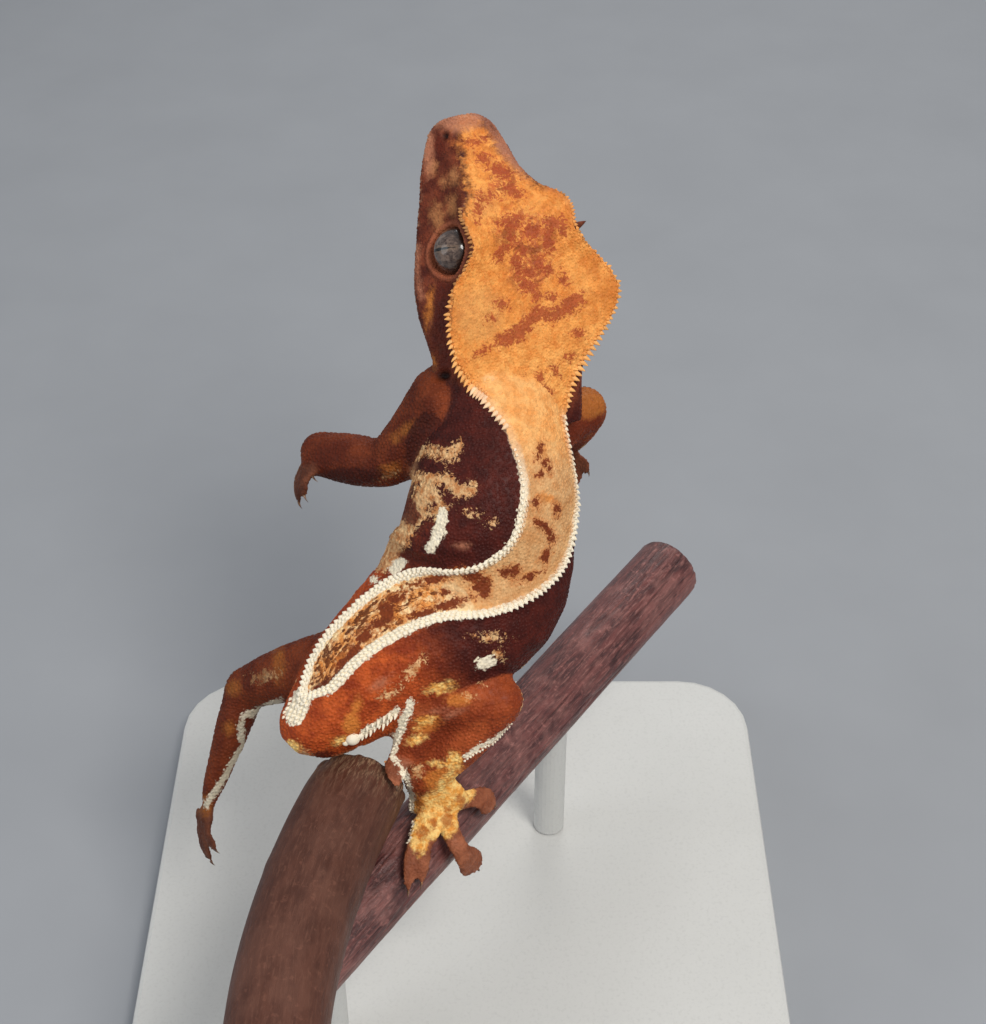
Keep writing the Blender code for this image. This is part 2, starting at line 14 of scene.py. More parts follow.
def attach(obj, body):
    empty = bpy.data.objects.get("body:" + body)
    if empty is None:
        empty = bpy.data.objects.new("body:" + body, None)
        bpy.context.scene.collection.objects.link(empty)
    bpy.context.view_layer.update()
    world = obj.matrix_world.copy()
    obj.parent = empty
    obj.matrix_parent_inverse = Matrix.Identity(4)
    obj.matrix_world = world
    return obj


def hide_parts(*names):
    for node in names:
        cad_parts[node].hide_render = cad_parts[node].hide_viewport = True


RNG = np.random.default_rng(7)
MM = 0.001
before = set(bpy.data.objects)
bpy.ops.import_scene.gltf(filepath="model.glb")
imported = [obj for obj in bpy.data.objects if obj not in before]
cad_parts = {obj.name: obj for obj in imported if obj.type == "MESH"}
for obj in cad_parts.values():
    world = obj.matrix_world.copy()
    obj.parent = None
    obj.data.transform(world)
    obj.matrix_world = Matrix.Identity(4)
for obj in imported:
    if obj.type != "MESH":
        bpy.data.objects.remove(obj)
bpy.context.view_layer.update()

# ---------------------------------------------------------------- the pose, as in the solids

TILT = math.radians(40)
STEP = 0.142
REACH = 260.0
AIM = Vector((5.0, 4.0, 86.0))
MIDDLE = (493, 512)
RIGHT = Vector((1, 0, 0))
UP = Vector((0, math.sin(TILT), math.cos(TILT)))
NEAR = Vector((0, -math.cos(TILT), math.sin(TILT)))


def seen(across, down, near=0.0):
    k = STEP * (REACH - near) / REACH
    return AIM + RIGHT * ((across - MIDDLE[0]) * k) + UP * ((MIDDLE[1] - down) * k) + NEAR * near


def turned(right, up, near):
    return (RIGHT * right + UP * up + NEAR * near).normalized()


THIN = {"at": seen(435, 824, -22.0), "dir": turned(0.601, 0.585, -0.545), "r": 6.0, "from": -34.0, "to": 66.0, "bow": 0.0}
THICK = {"at": seen(368, 763, -14.5), "dir": turned(-0.20, -0.68, 0.70), "r": 7.5, "from": 3.6, "to": 50.0, "bow": 2.4}


def branch_axis(branch, s):
    u = (s - branch["from"]) / (branch["to"] - branch["from"])
    return branch["at"] + branch["dir"] * s - RIGHT * (branch["bow"] * 4 * u * (1 - u))


def on_branch(across, down, branch, clear):
    want = branch["r"] + clear
    low, high = -60.0, 60.0
    axis, at = branch["dir"], branch["at"]

    def off(near):
        d = seen(across, down, near) - at
        return (d - axis * d.dot(axis)).length

    best = min((off(n), n) for n in np.linspace(low, high, 241))[1]
    if off(best) >= want:
        return seen(across, down, best)
    low, high = best, best + 40.0
    for _ in range(40):
        mid = 0.5 * (low + high)
        low, high = (mid, high) if off(mid) < want else (low, mid)
    return seen(across, down, low)


TRUNK = [
    (seen(289, 745, -5.0), -34, 1.8, 1.7, 1.7, 0.0),
    (seen(296, 738, -5.2), -38, 3.7, 3.4, 3.4, 0.0),
    (seen(313, 724, -6.0), -42, 5.6, 5.4, 5.8, 0.4),
    (seen(338, 703, -7.0), -42, 7.5, 7.1, 7.4, 3.3),
    (seen(369, 674, -8.0), -42, 9.4, 8.8, 8.8, 4.3),
    (seen(405, 647, -9.0), -38, 11.4, 9.9, 9.9, 4.8),
    (seen(442, 618, -9.6), -26, 13.1, 10.5, 10.9, 4.9),
    (seen(472, 582, -9.8), 6, 14.0, 11.0, 11.4, 5.5),
    (seen(485, 543, -9.4), 41, 14.0, 11.7, 11.2, 6.6),
    (seen(488, 506, -8.8), 53, 13.3, 12.3, 10.7, 7.0),
    (seen(490, 470, -8.6), 55, 12.0, 12.0, 9.9, 7.0),
    (seen(493, 437, -8.4), 50, 10.8, 10.8, 9.2, 6.7),
    (seen(497, 407, -8.2), 43, 10.0, 9.2, 8.8, 6.7),
    (seen(503, 376, -8.2), 36, 9.6, 7.0, 8.2, 6.8),
]
RIDGE = 0.45
HEAD_ORIGIN = seen(535, 321, -1.0)
HEAD_FORWARD = turned(-0.236, 0.970, 0.06)
HEAD_ROLL = 24
HEAD_BACK, HEAD_TIP = -15.5, 31.8
CREST_HALF = [(-16, 4.3), (-13.5, 5.1), (-9.4, 7.2), (-6.6, 9.5), (-3.8, 12.0), (-0.6, 13.75), (2, 14.3), (5, 13.4), (7.5, 11.8), (9.5, 9.8), (12, 8.4), (14.5, 8.7), (16.5, 8.7), (17.8, 7.7), (19, 6.1), (20.5, 5.4), (24, 4.1), (28, 2.9), (30.7, 2.2), (31.8, 1.4)]
CREST_HEIGHT = [(-16, -5.4), (-13, -4.6), (-9.4, -3.5), (-6.6, -2.5), (-3.8, -1.3), (-0.6, -0.2), (2, 0.5), (7, 1.1), (12, 2.6), (15, 2.2), (17.8, 0.9), (20, -0.9), (24, -3.1), (28, -5.0), (30.7, -6.0), (31.8, -7.0)]
CROWN_HEIGHT = [(-16, -4.4), (-9.4, -2.8), (-6.6, -1.9), (-3.8, -1.1), (0, -0.5), (4, -0.1), (8, 0.2), (12, 0.4), (15, 0.3), (18, -0.4), (20, -1.2), (25, -3.5), (28.5, -5.0), (30.7, -5.9), (31.8, -6.8)]
CHEEK_HALF = [(-16, 7.0), (-10, 9.4), (-4, 11.2), (2, 11.6), (6, 10.8), (10, 9.2), (14, 8.2), (18, 7.2), (24, 5.6), (28, 4.5), (30.7, 3.5), (31.8, 2.4)]
JAW_HALF = [(-16, 8.0), (-10, 10.4), (-5, 12.0), (0, 13.3), (3, 13.9), (7, 13.6), (12.5, 12.5), (16.4, 10.9), (21, 9.0), (26, 7.3), (28.5, 6.2), (30.7, 4.8), (31.8, 3.1)]
JAW_HEIGHT = [(-16, -7.0), (0, -8.6), (8, -9.2), (16, -9.4), (24, -9.3), (31.8, -8.6)]
THROAT_HEIGHT = [(-16, -13.4), (-8, -14.8), (0, -15.2), (7, -14.8), (14, -13.6), (22, -12.2), (27, -11.4), (29.5, -10.9), (31.8, -9.6)]
NAPE_LEFT = [(-16, 0.8), (-13.7, 1.0), (-9.4, 1.5), (-6.6, 1.55), (-3.8, 1.0), (-0.6, -0.05), (2, -0.5), (5, -0.4), (7.5, -0.3), (9.5, -0.4), (12, -0.6), (14.5, -0.5), (17.8, -0.2), (21, 0.0), (31.2, 0.0)]
EYE = {"x": 12.2, "left": 7.25, "up": -3.9, "r": 3.6}
EYE_LOOK = Vector((0.20, 0.955, 0.22)).normalized()

DIGIT_HALF_WIDTH = [(0.0, 1.45), (0.2, 1.3), (0.36, 1.3), (0.55, 1.6), (0.74, 1.7), (0.9, 1.15), (1.0, 0.3)]
DIGIT_HALF_THICK = [(0.0, 0.85), (0.3, 0.72), (0.6, 0.62), (0.85, 0.5), (1.0, 0.18)]


def fan(palm, up, forward, half, spec):
    side = up.cross(forward).normalized()
    forward = side.cross(up).normalized()
    out = []
    for angle, length, rise, drop in spec:
        d = forward * math.cos(math.radians(angle)) + side * math.sin(math.radians(angle))
        out.append((palm + d * half * 0.3, palm + d * (half * 0.3 + length * 0.5) + up * rise, palm + d * (half * 0.3 + length) - up * drop, 1.0, False))
    return out


def limb(root, mid, end, radii, palm, half, up, digits, bulge=0.0, scale=1.0, back=None):
    up = up.normalized()
    forward = (palm - end).normalized()
    if digits and len(digits[0]) == 4:
        digits = fan(palm, up, forward if back is None else back, half, digits)
    return {"root": root, "mid": mid, "end": end, "radii": radii, "palm": palm, "half": half, "up": up, "digits": digits, "bulge": bulge, "scale": scale}


def right_foot_digits():
    grip = lambda a, d, clear: on_branch(a, d, THIN, clear)
    return [
        (grip(418, 790, 2.2), on_branch(397, 766, THICK, 1.5), on_branch(397, 789, THICK, 1.1), 1.25, False),
        (grip(423, 820, 2.2), grip(411, 852, 2.1), grip(408, 894, 1.2), 0.66, True),
        (grip(431, 822, 2.3), grip(425, 852, 2.7), grip(421, 886, 1.6), 0.66, True),
        (grip(446, 822, 2.2), grip(458, 846, 2.8), seen(479, 870, -22.0), 1.32, True),
        (grip(454, 802, 2.2), grip(473, 798, 2.6), grip(496, 806, 1.1), 1.2, True),
    ]


LIMBS = {
    "right_hind": limb(seen(396, 700, -8.0), seen(499, 701, -5.0), seen(430, 770, -11.0), (5.2, 5.0, 3.8, 3.9, 3.4),
                       on_branch(439, 803, THIN, 2.5), 4.9, turned(-0.1, 0.1, 1.0), right_foot_digits(), 0.8, 1.12),
    "left_hind": limb(seen(333, 664, -11.0), seen(246, 688, -20.0), seen(210, 797, -25.0), (5.2, 4.3, 3.4, 2.7, 1.6),
                      seen(206, 816, -26.0), 2.6, turned(-0.92, 0.0, 0.4), [(-62, 5.6, 0.2, 0.6), (-28, 6.6, 0.2, 0.8), (0, 6.8, 0.3, 1.0), (26, 6.6, 0.2, 0.9), (64, 5.8, 0.2, 0.6)], 0.4, 0.85),
    "left_fore": limb(seen(450, 410, -7.5), seen(385, 465, -12.0), seen(322, 454, -19.0), (7.0, 5.2, 3.6, 3.9, 3.5),
                      seen(312, 461, -20.0), 3.2, turned(-0.85, 0.45, 0.25), [(-60, 4.6, 0.3, 0.8), (-28, 5.6, 0.3, 1.2), (2, 5.8, 0.3, 1.4), (32, 5.4, 0.3, 1.2), (66, 4.4, 0.3, 0.8)], 0.3, 1.12,
                      turned(-0.02, -0.99, -0.1)),
    "right_fore": limb(seen(528, 440, -15.0), seen(583, 410, -22.0), seen(570, 438, -35.0), (5.4, 4.4, 3.9, 3.5, 2.7),
                       seen(566, 448, -38.0), 2.7, turned(0.5, 0.5, -0.7), [(-60, 4.8, 0.3, 0.8), (-28, 5.8, 0.3, 1.2), (2, 6.2, 0.3, 1.4), (32, 5.6, 0.3, 1.2), (66, 4.8, 0.3, 0.8)], 0.3, 0.86,
                       turned(0.0, -0.75, -0.66)),
}
FOLD = [(seen(411, 703, -1.6), 1.3), (seen(404, 720, -2.7), 0.68), (seen(397, 738, -4.9), 0.6), (seen(393, 755, -7.4), 0.58), (seen(404, 775, -9.3), 0.62)]
CALF = [(seen(428, 722, -6.0), 2.6), (seen(415, 742, -7.8), 3.1), (seen(413, 760, -9.2), 2.7), (seen(422, 780, -10.4), 2.3)]


def along(keys, x):
    k = np.array(keys, float)
    xs, ys = k[:, 0], k[:, 1:]
    slope = np.gradient(ys, xs, axis=0) if len(xs) > 2 else np.repeat(np.diff(ys, axis=0) / np.diff(xs)[:, None], 2, axis=0)
    i = int(np.clip(np.searchsorted(xs, x) - 1, 0, len(xs) - 2))
    h = xs[i + 1] - xs[i]
    t = min(max((x - xs[i]) / h, 0.0), 1.0)
    v = (2 * t**3 - 3 * t**2 + 1) * ys[i] + (t**3 - 2 * t**2 + t) * h * slope[i] + (3 * t**2 - 2 * t**3) * ys[i + 1] + (t**3 - t**2) * h * slope[i + 1]
    return float(v[0]) if len(v) == 1 else v


def frame_at(forward, roll):
    f = forward.normalized()
    up0 = (NEAR - f * NEAR.dot(f)).normalized()
    side = f.cross(up0)
    up = up0 * math.cos(math.radians(roll)) + side * math.sin(math.radians(roll))
    return up.cross(f), up, f


def trunk_line(step):
    rows = np.array([[*p, r, a, b, c, w] for p, r, a, b, c, w in TRUNK])
    knots = np.concatenate([[0], np.cumsum(np.linalg.norm(np.diff(rows[:, :3], axis=0), axis=1))])
    keys = np.column_stack([knots, rows])
    s = np.linspace(0, knots[-1], max(2, int(round(knots[-1] / step)) + 1))
    at = np.array([along(keys, x) for x in s])
    tangent = np.gradient(at[:, :3], s, axis=0)
    return s, at, [frame_at(Vector(t), r) for t, r in zip(tangent, at[:, 3])]


def trunk_ring(row, axes, n):
    _, _, _, _, a, b, c, w = row
    left, up, _ = axes
    ring = []
    for i in range(n):
        th = 2 * math.pi * (i + 0.5) / n
        cs, sn = math.cos(th), math.sin(th)
        x = a * math.copysign(abs(sn) ** 0.93, sn)
        z = (b if cs > 0 else c) * math.copysign(abs(cs) ** 0.93, cs)
        if cs > 0 and w > 0.5:
            z += RIDGE * math.exp(-(((abs(x) - w) / 0.9) ** 2))
        ring.append(Vector(row[:3]) + left * x + up * z)
    return ring


HEAD_LEFT, HEAD_UP, HEAD_ALONG = frame_at(HEAD_FORWARD, HEAD_ROLL)


def head_point(x, left, up):
    return HEAD_ORIGIN + HEAD_ALONG * x + HEAD_LEFT * left + HEAD_UP * up


def head_ring(x, n):
    at = min(x, HEAD_TIP)
    wc, ze, zt = along(CREST_HALF, at), along(CREST_HEIGHT, at), along(CROWN_HEIGHT, at)
    wj, zj, wm, zb = along(JAW_HALF, at), along(JAW_HEIGHT, at), along(CHEEK_HALF, at), along(THROAT_HEIGHT, at)
    zm = 0.55 * ze + 0.45 * zj
    half = [(0.0, zt), (0.42 * wc, zt + 0.1 * (ze - zt)), (0.78 * wc, 0.45 * zt + 0.55 * ze), (wc, ze),
            (0.45 * wc + 0.55 * wm, 0.6 * ze + 0.4 * zm), (wm, zm), (0.4 * wm + 0.6 * wj, 0.42 * zm + 0.58 * zj),
            (wj, zj), (0.86 * wj, 0.55 * zj + 0.45 * zb), (0.48 * wj, 0.1 * zj + 0.9 * zb), (0.0, zb)]
    loop = half + [(-p[0], p[1]) for p in half[-2:0:-1]]
    m, dense = len(loop), []
    for i in range(m):
        p0, p1, p2, p3 = (np.array(loop[(i + k - 1) % m]) for k in range(4))
        for t in np.arange(8) / 8:
            dense.append(0.5 * (2 * p1 + (p2 - p0) * t + (2 * p0 - 5 * p1 + 4 * p2 - p3) * t * t + (3 * p1 - p0 - 3 * p2 + p3) * t**3))
    loop = np.vstack([dense, dense[:1]])
    run = np.concatenate([[0], np.cumsum(np.linalg.norm(np.diff(loop, axis=0), axis=1))])
    at = np.linspace(0, run[-1], n, endpoint=False) + 0.5 * run[-1] / n
    shift = along(NAPE_LEFT, x)
    return [head_point(x, shift + np.interp(v, run, loop[:, 0]), np.interp(v, run, loop[:, 1])) for v in at]


def tube(points, radii, up, n=12, flat=1.0, step=3.2):
    pts = [Vector(p) for p in points]
    knots = np.concatenate([[0], np.cumsum([(b - a).length for a, b in zip(pts, pts[1:])])])
    keys = np.column_stack([knots, np.array([[*p, r] for p, r in zip(pts, radii)])])
    total = knots[-1]
    ends = (0.25, 0.5, 0.8, 1.05, 1.3)
    places = [(0.0, -math.cos(a), math.sin(a)) for a in ends]
    places += [(s, 0.0, 1.0) for s in np.linspace(0, total, max(3, int(round(total / step)) + 1))]
    places += [(total, math.cos(a), math.sin(a)) for a in ends[::-1]]
    rings = []
    for s, cap, k in places:
        v = along(keys, s)
        near, far = along(keys, max(s - 0.3, 0)), along(keys, min(s + 0.3, total))
        f = (Vector(far[:3]) - Vector(near[:3])).normalized()
        side = up.cross(f).normalized()
        nrm = f.cross(side)
        r, thick = v[3], flat * v[3]
        c = Vector(v[:3]) + f * (cap * (min(r, thick) if flat < 0.7 else r))
        rings.append([c + side * (math.cos(t) * r * k) + nrm * (math.sin(t) * thick * k) for t in np.linspace(0, 2 * math.pi, n, endpoint=False)])
    return rings


def digit_rings(base, knuckle, tip, up, scale, wide=1.0, hold=None, n=20, count=30):
    pts = [Vector(base), Vector(knuckle), Vector(tip)]
    knots = [0, (pts[1] - pts[0]).length, (pts[1] - pts[0]).length + (pts[2] - pts[1]).length]
    keys = np.column_stack([knots, np.array([list(p) for p in pts])])
    rings = []
    for u in np.linspace(0.0, 1.0, count):
        s = u * knots[2]
        near, far = along(keys, max(s - 0.3, 0)), along(keys, min(s + 0.3, knots[2]))
        f = (Vector(far) - Vector(near)).normalized()
        c = Vector(along(keys, s))
        lean = up
        if hold:
            d = c - hold["at"]
            lean = up.lerp((d - hold["dir"] * d.dot(hold["dir"])).normalized(), min(1.0, 2.2 * u))
        side = lean.cross(f).normalized()
        nrm = f.cross(side)
        half, thick = along(DIGIT_HALF_WIDTH, u) * scale * (1 + (wide - 1) * min(1.0, 2 * u)), along(DIGIT_HALF_THICK, u) * scale
        rings.append([c + side * (math.cos(t) * half) + nrm * (math.sin(t) * thick * (1.0 if math.sin(t) > 0 else 0.7)) for t in np.linspace(0, 2 * math.pi, n, endpoint=False)])
    return rings


def segment_rings(g, n=40):
    root, mid, end, r = g["root"], g["mid"], g["end"], g["radii"]
    full = (mid - root).normalized()
    across = full.cross((end - mid).normalized())
    lift = across.cross(full).normalized() * -g["bulge"] if across.length > 1e-3 else Vector()
    normal = (mid - root).cross(end - mid).normalized()
    upper = tube([root, root.lerp(mid, 0.5) + lift, mid], (r[0], r[1], r[2]), normal, n, step=0.8)
    lower = tube([mid, mid.lerp(end, 0.38), end], (r[2] * 0.98, r[3], r[4]), normal, n, step=0.8)
    return upper, lower


def foot_rings(g):
    end, palm, half, up = g["end"], g["palm"], g["half"], g["up"]
    shells = [tube([end, end.lerp(palm, 0.55), palm], (g["radii"][4] * 0.9, half * 0.82, half), up, 32, flat=0.42, step=0.7)]
    for base, knuckle, tip, wide, holds in g["digits"]:
        shells.append(digit_rings(base, knuckle, tip, up, g["scale"], wide, THIN if holds else None))
        shells.append(tube([palm, palm.lerp(knuckle, 0.75)], (half * 0.55, 1.2 * g["scale"]), up, 20, flat=0.55, step=0.8))
    return shells


# ---------------------------------------------------------------- small tools


def linear(r, g, b):
    """A colour given as eight-bit values, as the shaders want it."""
    return tuple(((c / 255 + 0.055) / 1.055) ** 2.4 if c / 255 > 0.04045 else c / 255 / 12.92 for c in (r, g, b)) + (1.0,)


def ease(low, high, x):
    t = np.clip((x - low) / (high - low), 0, 1)
    return t * t * (3 - 2 * t)


def lump(p, seed=0):
    """Smooth value noise from -1 to 1 at each row of p, one lump to a unit."""
    i = np.floor(p).astype(np.int64)
    f = p - i
    f = f * f * (3 - 2 * f)
    out = np.zeros(len(p))
    for corner in range(8):
        o = np.array([(corner >> k) & 1 for k in range(3)])
        h = ((i + o) * np.array([374761393, 668265263, 1442695041])).sum(1) + seed * 1013904223
        h = (h ^ (h >> 13)) * 1274126177
        h = (h ^ (h >> 16)) & 0xFFFF
        out += (h / 32767.5 - 1) * np.prod(np.where(o, f, 1 - f), axis=1)
    return out


def lumps(p, seed=0, octaves=3):
    return sum(lump(p * 2.03**k, seed + k) * 0.5**k for k in range(octaves)) / 1.75


def array_mesh(name, points, loops, sizes, values=None, uv=None):
    """A smooth mesh from arrays: points in millimetres, face corners, corners in each face, and point values by name."""
    mesh = bpy.data.meshes.new(name)
    mesh.vertices.add(len(points))
    mesh.vertices.foreach_set("co", (np.asarray(points) * MM).astype(np.float32).ravel())
    mesh.loops.add(len(loops))
    mesh.loops.foreach_set("vertex_index", np.asarray(loops, np.int32))
    mesh.polygons.add(len(sizes))
    starts = np.concatenate([[0], np.cumsum(sizes)[:-1]]).astype(np.int32)
    mesh.polygons.foreach_set("loop_start", starts)
    mesh.update(calc_edges=True)
    mesh.validate()
    mesh.polygons.foreach_set("use_smooth", np.ones(len(mesh.polygons), bool))
    for key, value in (values or {}).items():
        mesh.attributes.new(key, "FLOAT", "POINT").data.foreach_set("value", np.asarray(value, np.float32))
    if uv is not None:
        layer = mesh.uv_layers.new(name="OFBake")
        layer.data.foreach_set("uv", uv[np.asarray(loops)].astype(np.float32).ravel())
    mesh.update()
    obj = bpy.data.objects.new(name, mesh)
    bpy.context.scene.collection.objects.link(obj)
    return obj


def lofted(rings):
    """Points and triangles of a closed loft."""
    n = len(rings[0])
    points = [p for ring in rings for p in ring]
    faces = []
    for j in range(len(rings) - 1):
        a, b = j * n, (j + 1) * n
        for i in range(n):
            k = (i + 1) % n
            faces.append((a + i, a + k, b + k, b + i))
    for j, turn in ((0, True), (len(rings) - 1, False)):
        points.append(sum((Vector(p) for p in rings[j]), Vector()) / n)
        for i in range(n):
            a, b = j * n + i, j * n + (i + 1) % n
            faces.append((b, a, len(points) - 1) if turn else (a, b, len(points) - 1))
    return points, faces


def vectors(obj):
    """Points and normals of a mesh object, as arrays."""
    me = obj.data
    co, no = np.empty(len(me.vertices) * 3, np.float32), np.empty(len(me.vertices) * 3, np.float32)
    me.vertices.foreach_get("co", co)
    me.vertex_normals.foreach_get("vector", no)
    return co.reshape(-1, 3).astype(float), no.reshape(-1, 3).astype(float)


def put(obj, co):
    obj.data.vertices.foreach_set("co", np.asarray(co, np.float32).ravel())
    obj.data.update()


# ---------------------------------------------------------------- the skin

print("skin shells")
LINE_S, LINE_ROWS, LINE_AXES = trunk_line(0.5)
PARTS = {}
PARTS["trunk"] = [[trunk_ring(r, a, 110) for r, a in zip(LINE_ROWS, LINE_AXES)]]
PARTS["head"] = [[head_ring(x, 130) for x in np.concatenate([np.arange(HEAD_BACK, 28.0, 0.5), np.linspace(28.0, HEAD_TIP, 11)])]]
for key, g in LIMBS.items():
    upper, lower = segment_rings(g)
    PARTS[key + "_upper"] = [upper]
    PARTS[key + "_lower"] = [lower]
    PARTS[key + "_foot"] = foot_rings(g)
PARTS["right_hind_lower"].append(tube([p for p, _ in FOLD], [r for _, r in FOLD], NEAR, 20, step=0.7))
PARTS["right_hind_lower"].append(tube([p for p, _ in CALF], [r for _, r in CALF], NEAR, 24, step=0.8))
PART_NAMES = list(PARTS)

trees, whole_points, whole_faces = {}, [], []
for name, shells in PARTS.items():
    pts, fcs = [], []
    for rings in shells:
        p, f = lofted(rings)
        fcs += [tuple(i + len(pts) for i in face) for face in f]
        pts += p
    trees[name] = BVHTree.FromPolygons(pts, fcs)
    whole_faces += [tuple(i + len(whole_points) for i in face) for face in fcs]
    whole_points += [tuple(p) for p in pts]

mesh = bpy.data.meshes.new("skin")
mesh.from_pydata(whole_points, [], whole_faces)
bm = bmesh.new()
bm.from_mesh(mesh)
bmesh.ops.recalc_face_normals(bm, faces=bm.faces)
bm.to_mesh(mesh)
bm.free()
skin = bpy.data.objects.new("skin", mesh)
bpy.context.scene.collection.objects.link(skin)
remesh = skin.modifiers.new("Remesh", "REMESH")
remesh.mode, remesh.voxel_size, remesh.use_smooth_shade = "VOXEL", 0.37, True
bpy.context.view_layer.update()
made = bpy.data.meshes.new_from_object(skin.evaluated_get(bpy.context.evaluated_depsgraph_get()))
skin.modifiers.clear()
skin.data = made
bm = bmesh.new()
bm.from_mesh(made)
bm.verts.ensure_lookup_table()
owner, groups = {}, []
for v in bm.verts:
    if v.index in owner:
        continue
    stack, group = [v], []
    owner[v.index] = len(groups)
    while stack:
        w = stack.pop()
        group.append(w)
        for e in w.link_edges:
            o = e.other_vert(w)
            if o.index not in owner:
                owner[o.index] = len(groups)
                stack.append(o)
    groups.append(group)
groups.sort(key=len)
for group in groups[:-1]:
    bmesh.ops.delete(bm, geom=group, context="VERTS")
bm.to_mesh(made)
bm.free()
print("skin faces", len(made.polygons))

co, no = vectors(skin)
edges = np.empty(len(made.edges) * 2, np.int32)
made.edges.foreach_get("vertices", edges)
edges = edges.reshape(-1, 2)
degree = np.bincount(edges.ravel(), minlength=len(co))[:, None]


def relaxed(points, weight, times):
    """Points moved towards the middle of their neighbours, each by its own weight."""
    for _ in range(times):
        total = np.zeros_like(points)
        for k in range(points.shape[1]):
            total[:, k] = np.bincount(edges[:, 0], points[edges[:, 1], k], len(points)) + np.bincount(edges[:, 1], points[edges[:, 0], k], len(points))
        points = points + weight[:, None] * (total / degree - points)
    return points


def distances(points):
    """Distance of each point from the surface of each part."""
    out = np.empty((len(points), len(PART_NAMES)))
    vs = [Vector(p) for p in points]
    for j, name in enumerate(PART_NAMES):
        find = trees[name].find_nearest
        for i, v in enumerate(vs):
            out[i, j] = find(v)[3]
    return out


co = relaxed(co, np.full(len(co), 0.5), 3)
reach_of = distances(co)
order = np.sort(reach_of, axis=1)
joint = ease(2.4, 0.5, order[:, 1]) * (1 - 0.75 * (np.argmin(reach_of, axis=1) == PART_NAMES.index("head")))
joint = relaxed(joint[:, None], np.full(len(co), 0.5), 6)[:, 0]
co = relaxed(co, 0.62 * joint, 26)
put(skin, co)
co, no = vectors(skin)

# Where each point is: on which part, how far along the trunk and the head, and where it shows in the view.
blend_w = np.exp(-reach_of / 0.55)
blend_w /= blend_w.sum(1, keepdims=True)
on = {name: blend_w[:, j] for j, name in enumerate(PART_NAMES)}
on["limbs"] = sum(on[n] for n in PART_NAMES if n not in ("trunk", "head"))
on["feet"] = sum(on[n] for n in PART_NAMES if n.endswith("_foot"))
for key in LIMBS:
    on[key] = on[key + "_upper"] + on[key + "_lower"] + on[key + "_foot"]
on["all"] = np.ones(len(co))


def in_axes(points, origin, *axes):
    d = points - np.array(origin)
    return [d @ np.array(a) for a in axes]


def trunk_places(points):
    """Distance along the trunk, to the left and up, of each point."""
    mids = LINE_ROWS[:, :3]
    lefts, ups, fronts = (np.array([list(a[k]) for a in LINE_AXES]) for k in range(3))
    s, x, z = np.empty(len(points)), np.empty(len(points)), np.empty(len(points))
    for lo in range(0, len(points), 8000):
        p = points[lo : lo + 8000]
        i = np.argmin(((p[:, None, :] - mids[None]) ** 2).sum(2), axis=1)
        d = p - mids[i]
        s[lo : lo + 8000] = LINE_S[i] + (d * fronts[i]).sum(1)
        x[lo : lo + 8000] = (d * lefts[i]).sum(1)
        z[lo : lo + 8000] = (d * ups[i]).sum(1)
    return s, x, z


def table(keys, x):
    """The profile at every x, from a fine table of it."""
    lo, hi = keys[0][0], keys[-1][0]
    xs = np.linspace(lo, hi, 400)
    return np.interp(x, xs, [along(keys, v) for v in xs])


EYE_AT = np.array(AIM + NEAR * REACH)


def view_places(points):
    """Where each point shows in the view, in grid steps."""
    d = points - EYE_AT
    depth = -(d @ np.array(NEAR))
    k = STEP * depth / REACH
    return MIDDLE[0] + (d @ np.array(RIGHT)) / k, MIDDLE[1] - (d @ np.array(UP)) / k


def toward(points, normals):
    d = EYE_AT - points
    return (normals * d).sum(1) / np.linalg.norm(d, axis=1)


s_at, x_at, z_at = trunk_places(co)
hx, hl, hu = in_axes(co, HEAD_ORIGIN, HEAD_ALONG, HEAD_LEFT, HEAD_UP)
hl = hl - table(NAPE_LEFT, hx)
px, py = view_places(co)
face_on = toward(co, no)

# ---- sculpting: lids, sockets, mouth, nostrils, ears and folds
print("sculpting")
co = co - no * 0.12
head_w = on["head"]
moves = np.zeros_like(co)
eyes = {}
for side, sign in (("left", 1), ("right", -1)):
    centre = np.array(head_point(EYE["x"], sign * EYE["left"], EYE["up"]))
    look = np.array(HEAD_ALONG * EYE_LOOK.x + HEAD_LEFT * (sign * EYE_LOOK.y) + HEAD_UP * EYE_LOOK.z)
    eyes[side] = (centre, look)
    d = co - centre
    h = d @ look
    flat = d - h[:, None] * look
    rho = np.linalg.norm(flat, axis=1)
    close = (rho < 7) & (h > -1.5) & (h < 6.5)
    want = np.sqrt(np.clip(EYE["r"] ** 2 - rho**2, 0, None)) - 0.75
    inside = ease(3.62, 3.3, rho)
    target = np.where(close & (rho < 3.7), np.minimum(h, want), h)
    moves += (look * ((target - h) * inside)[:, None]) * (close & (h > 0))[:, None]
    rim = np.exp(-(((rho - 3.95) / 0.42) ** 2)) * close
    moves += look * (0.34 * rim)[:, None]
    furrow = np.exp(-(((rho - 4.75) / 0.35) ** 2)) * close
    moves -= look * (0.16 * furrow)[:, None]
lid = np.zeros(len(co))
for side, (centre, look) in eyes.items():
    d = co - centre
    h = d @ look
    rho = np.linalg.norm(d - h[:, None] * look, axis=1)
    lid = np.maximum(lid, np.exp(-(((rho - 3.8) / 0.55) ** 2)) * (h > -1.5) * (h < 6.5))

mouth_at = np.interp(hx, [-2, 3, 7, 14, 22, 28, 31.2], [-9.4, -10.7, -10.9, -10.6, -10.3, -9.9, -9.6])
mouth = np.abs(hu - mouth_at) + 9 * ease(4.2, 2.6, hx) + 9 * (1 - ease(0.35, 0.6, head_w))
moves -= no * (0.42 * np.exp(-((mouth / 0.30) ** 2)))[:, None]
lips = np.exp(-(((mouth - 0.75) / 0.42) ** 2)) * (hx > 3)
moves += no * (0.13 * lips * (0.6 + 0.4 * np.cos(hx * 2 * math.pi / 1.15)))[:, None]
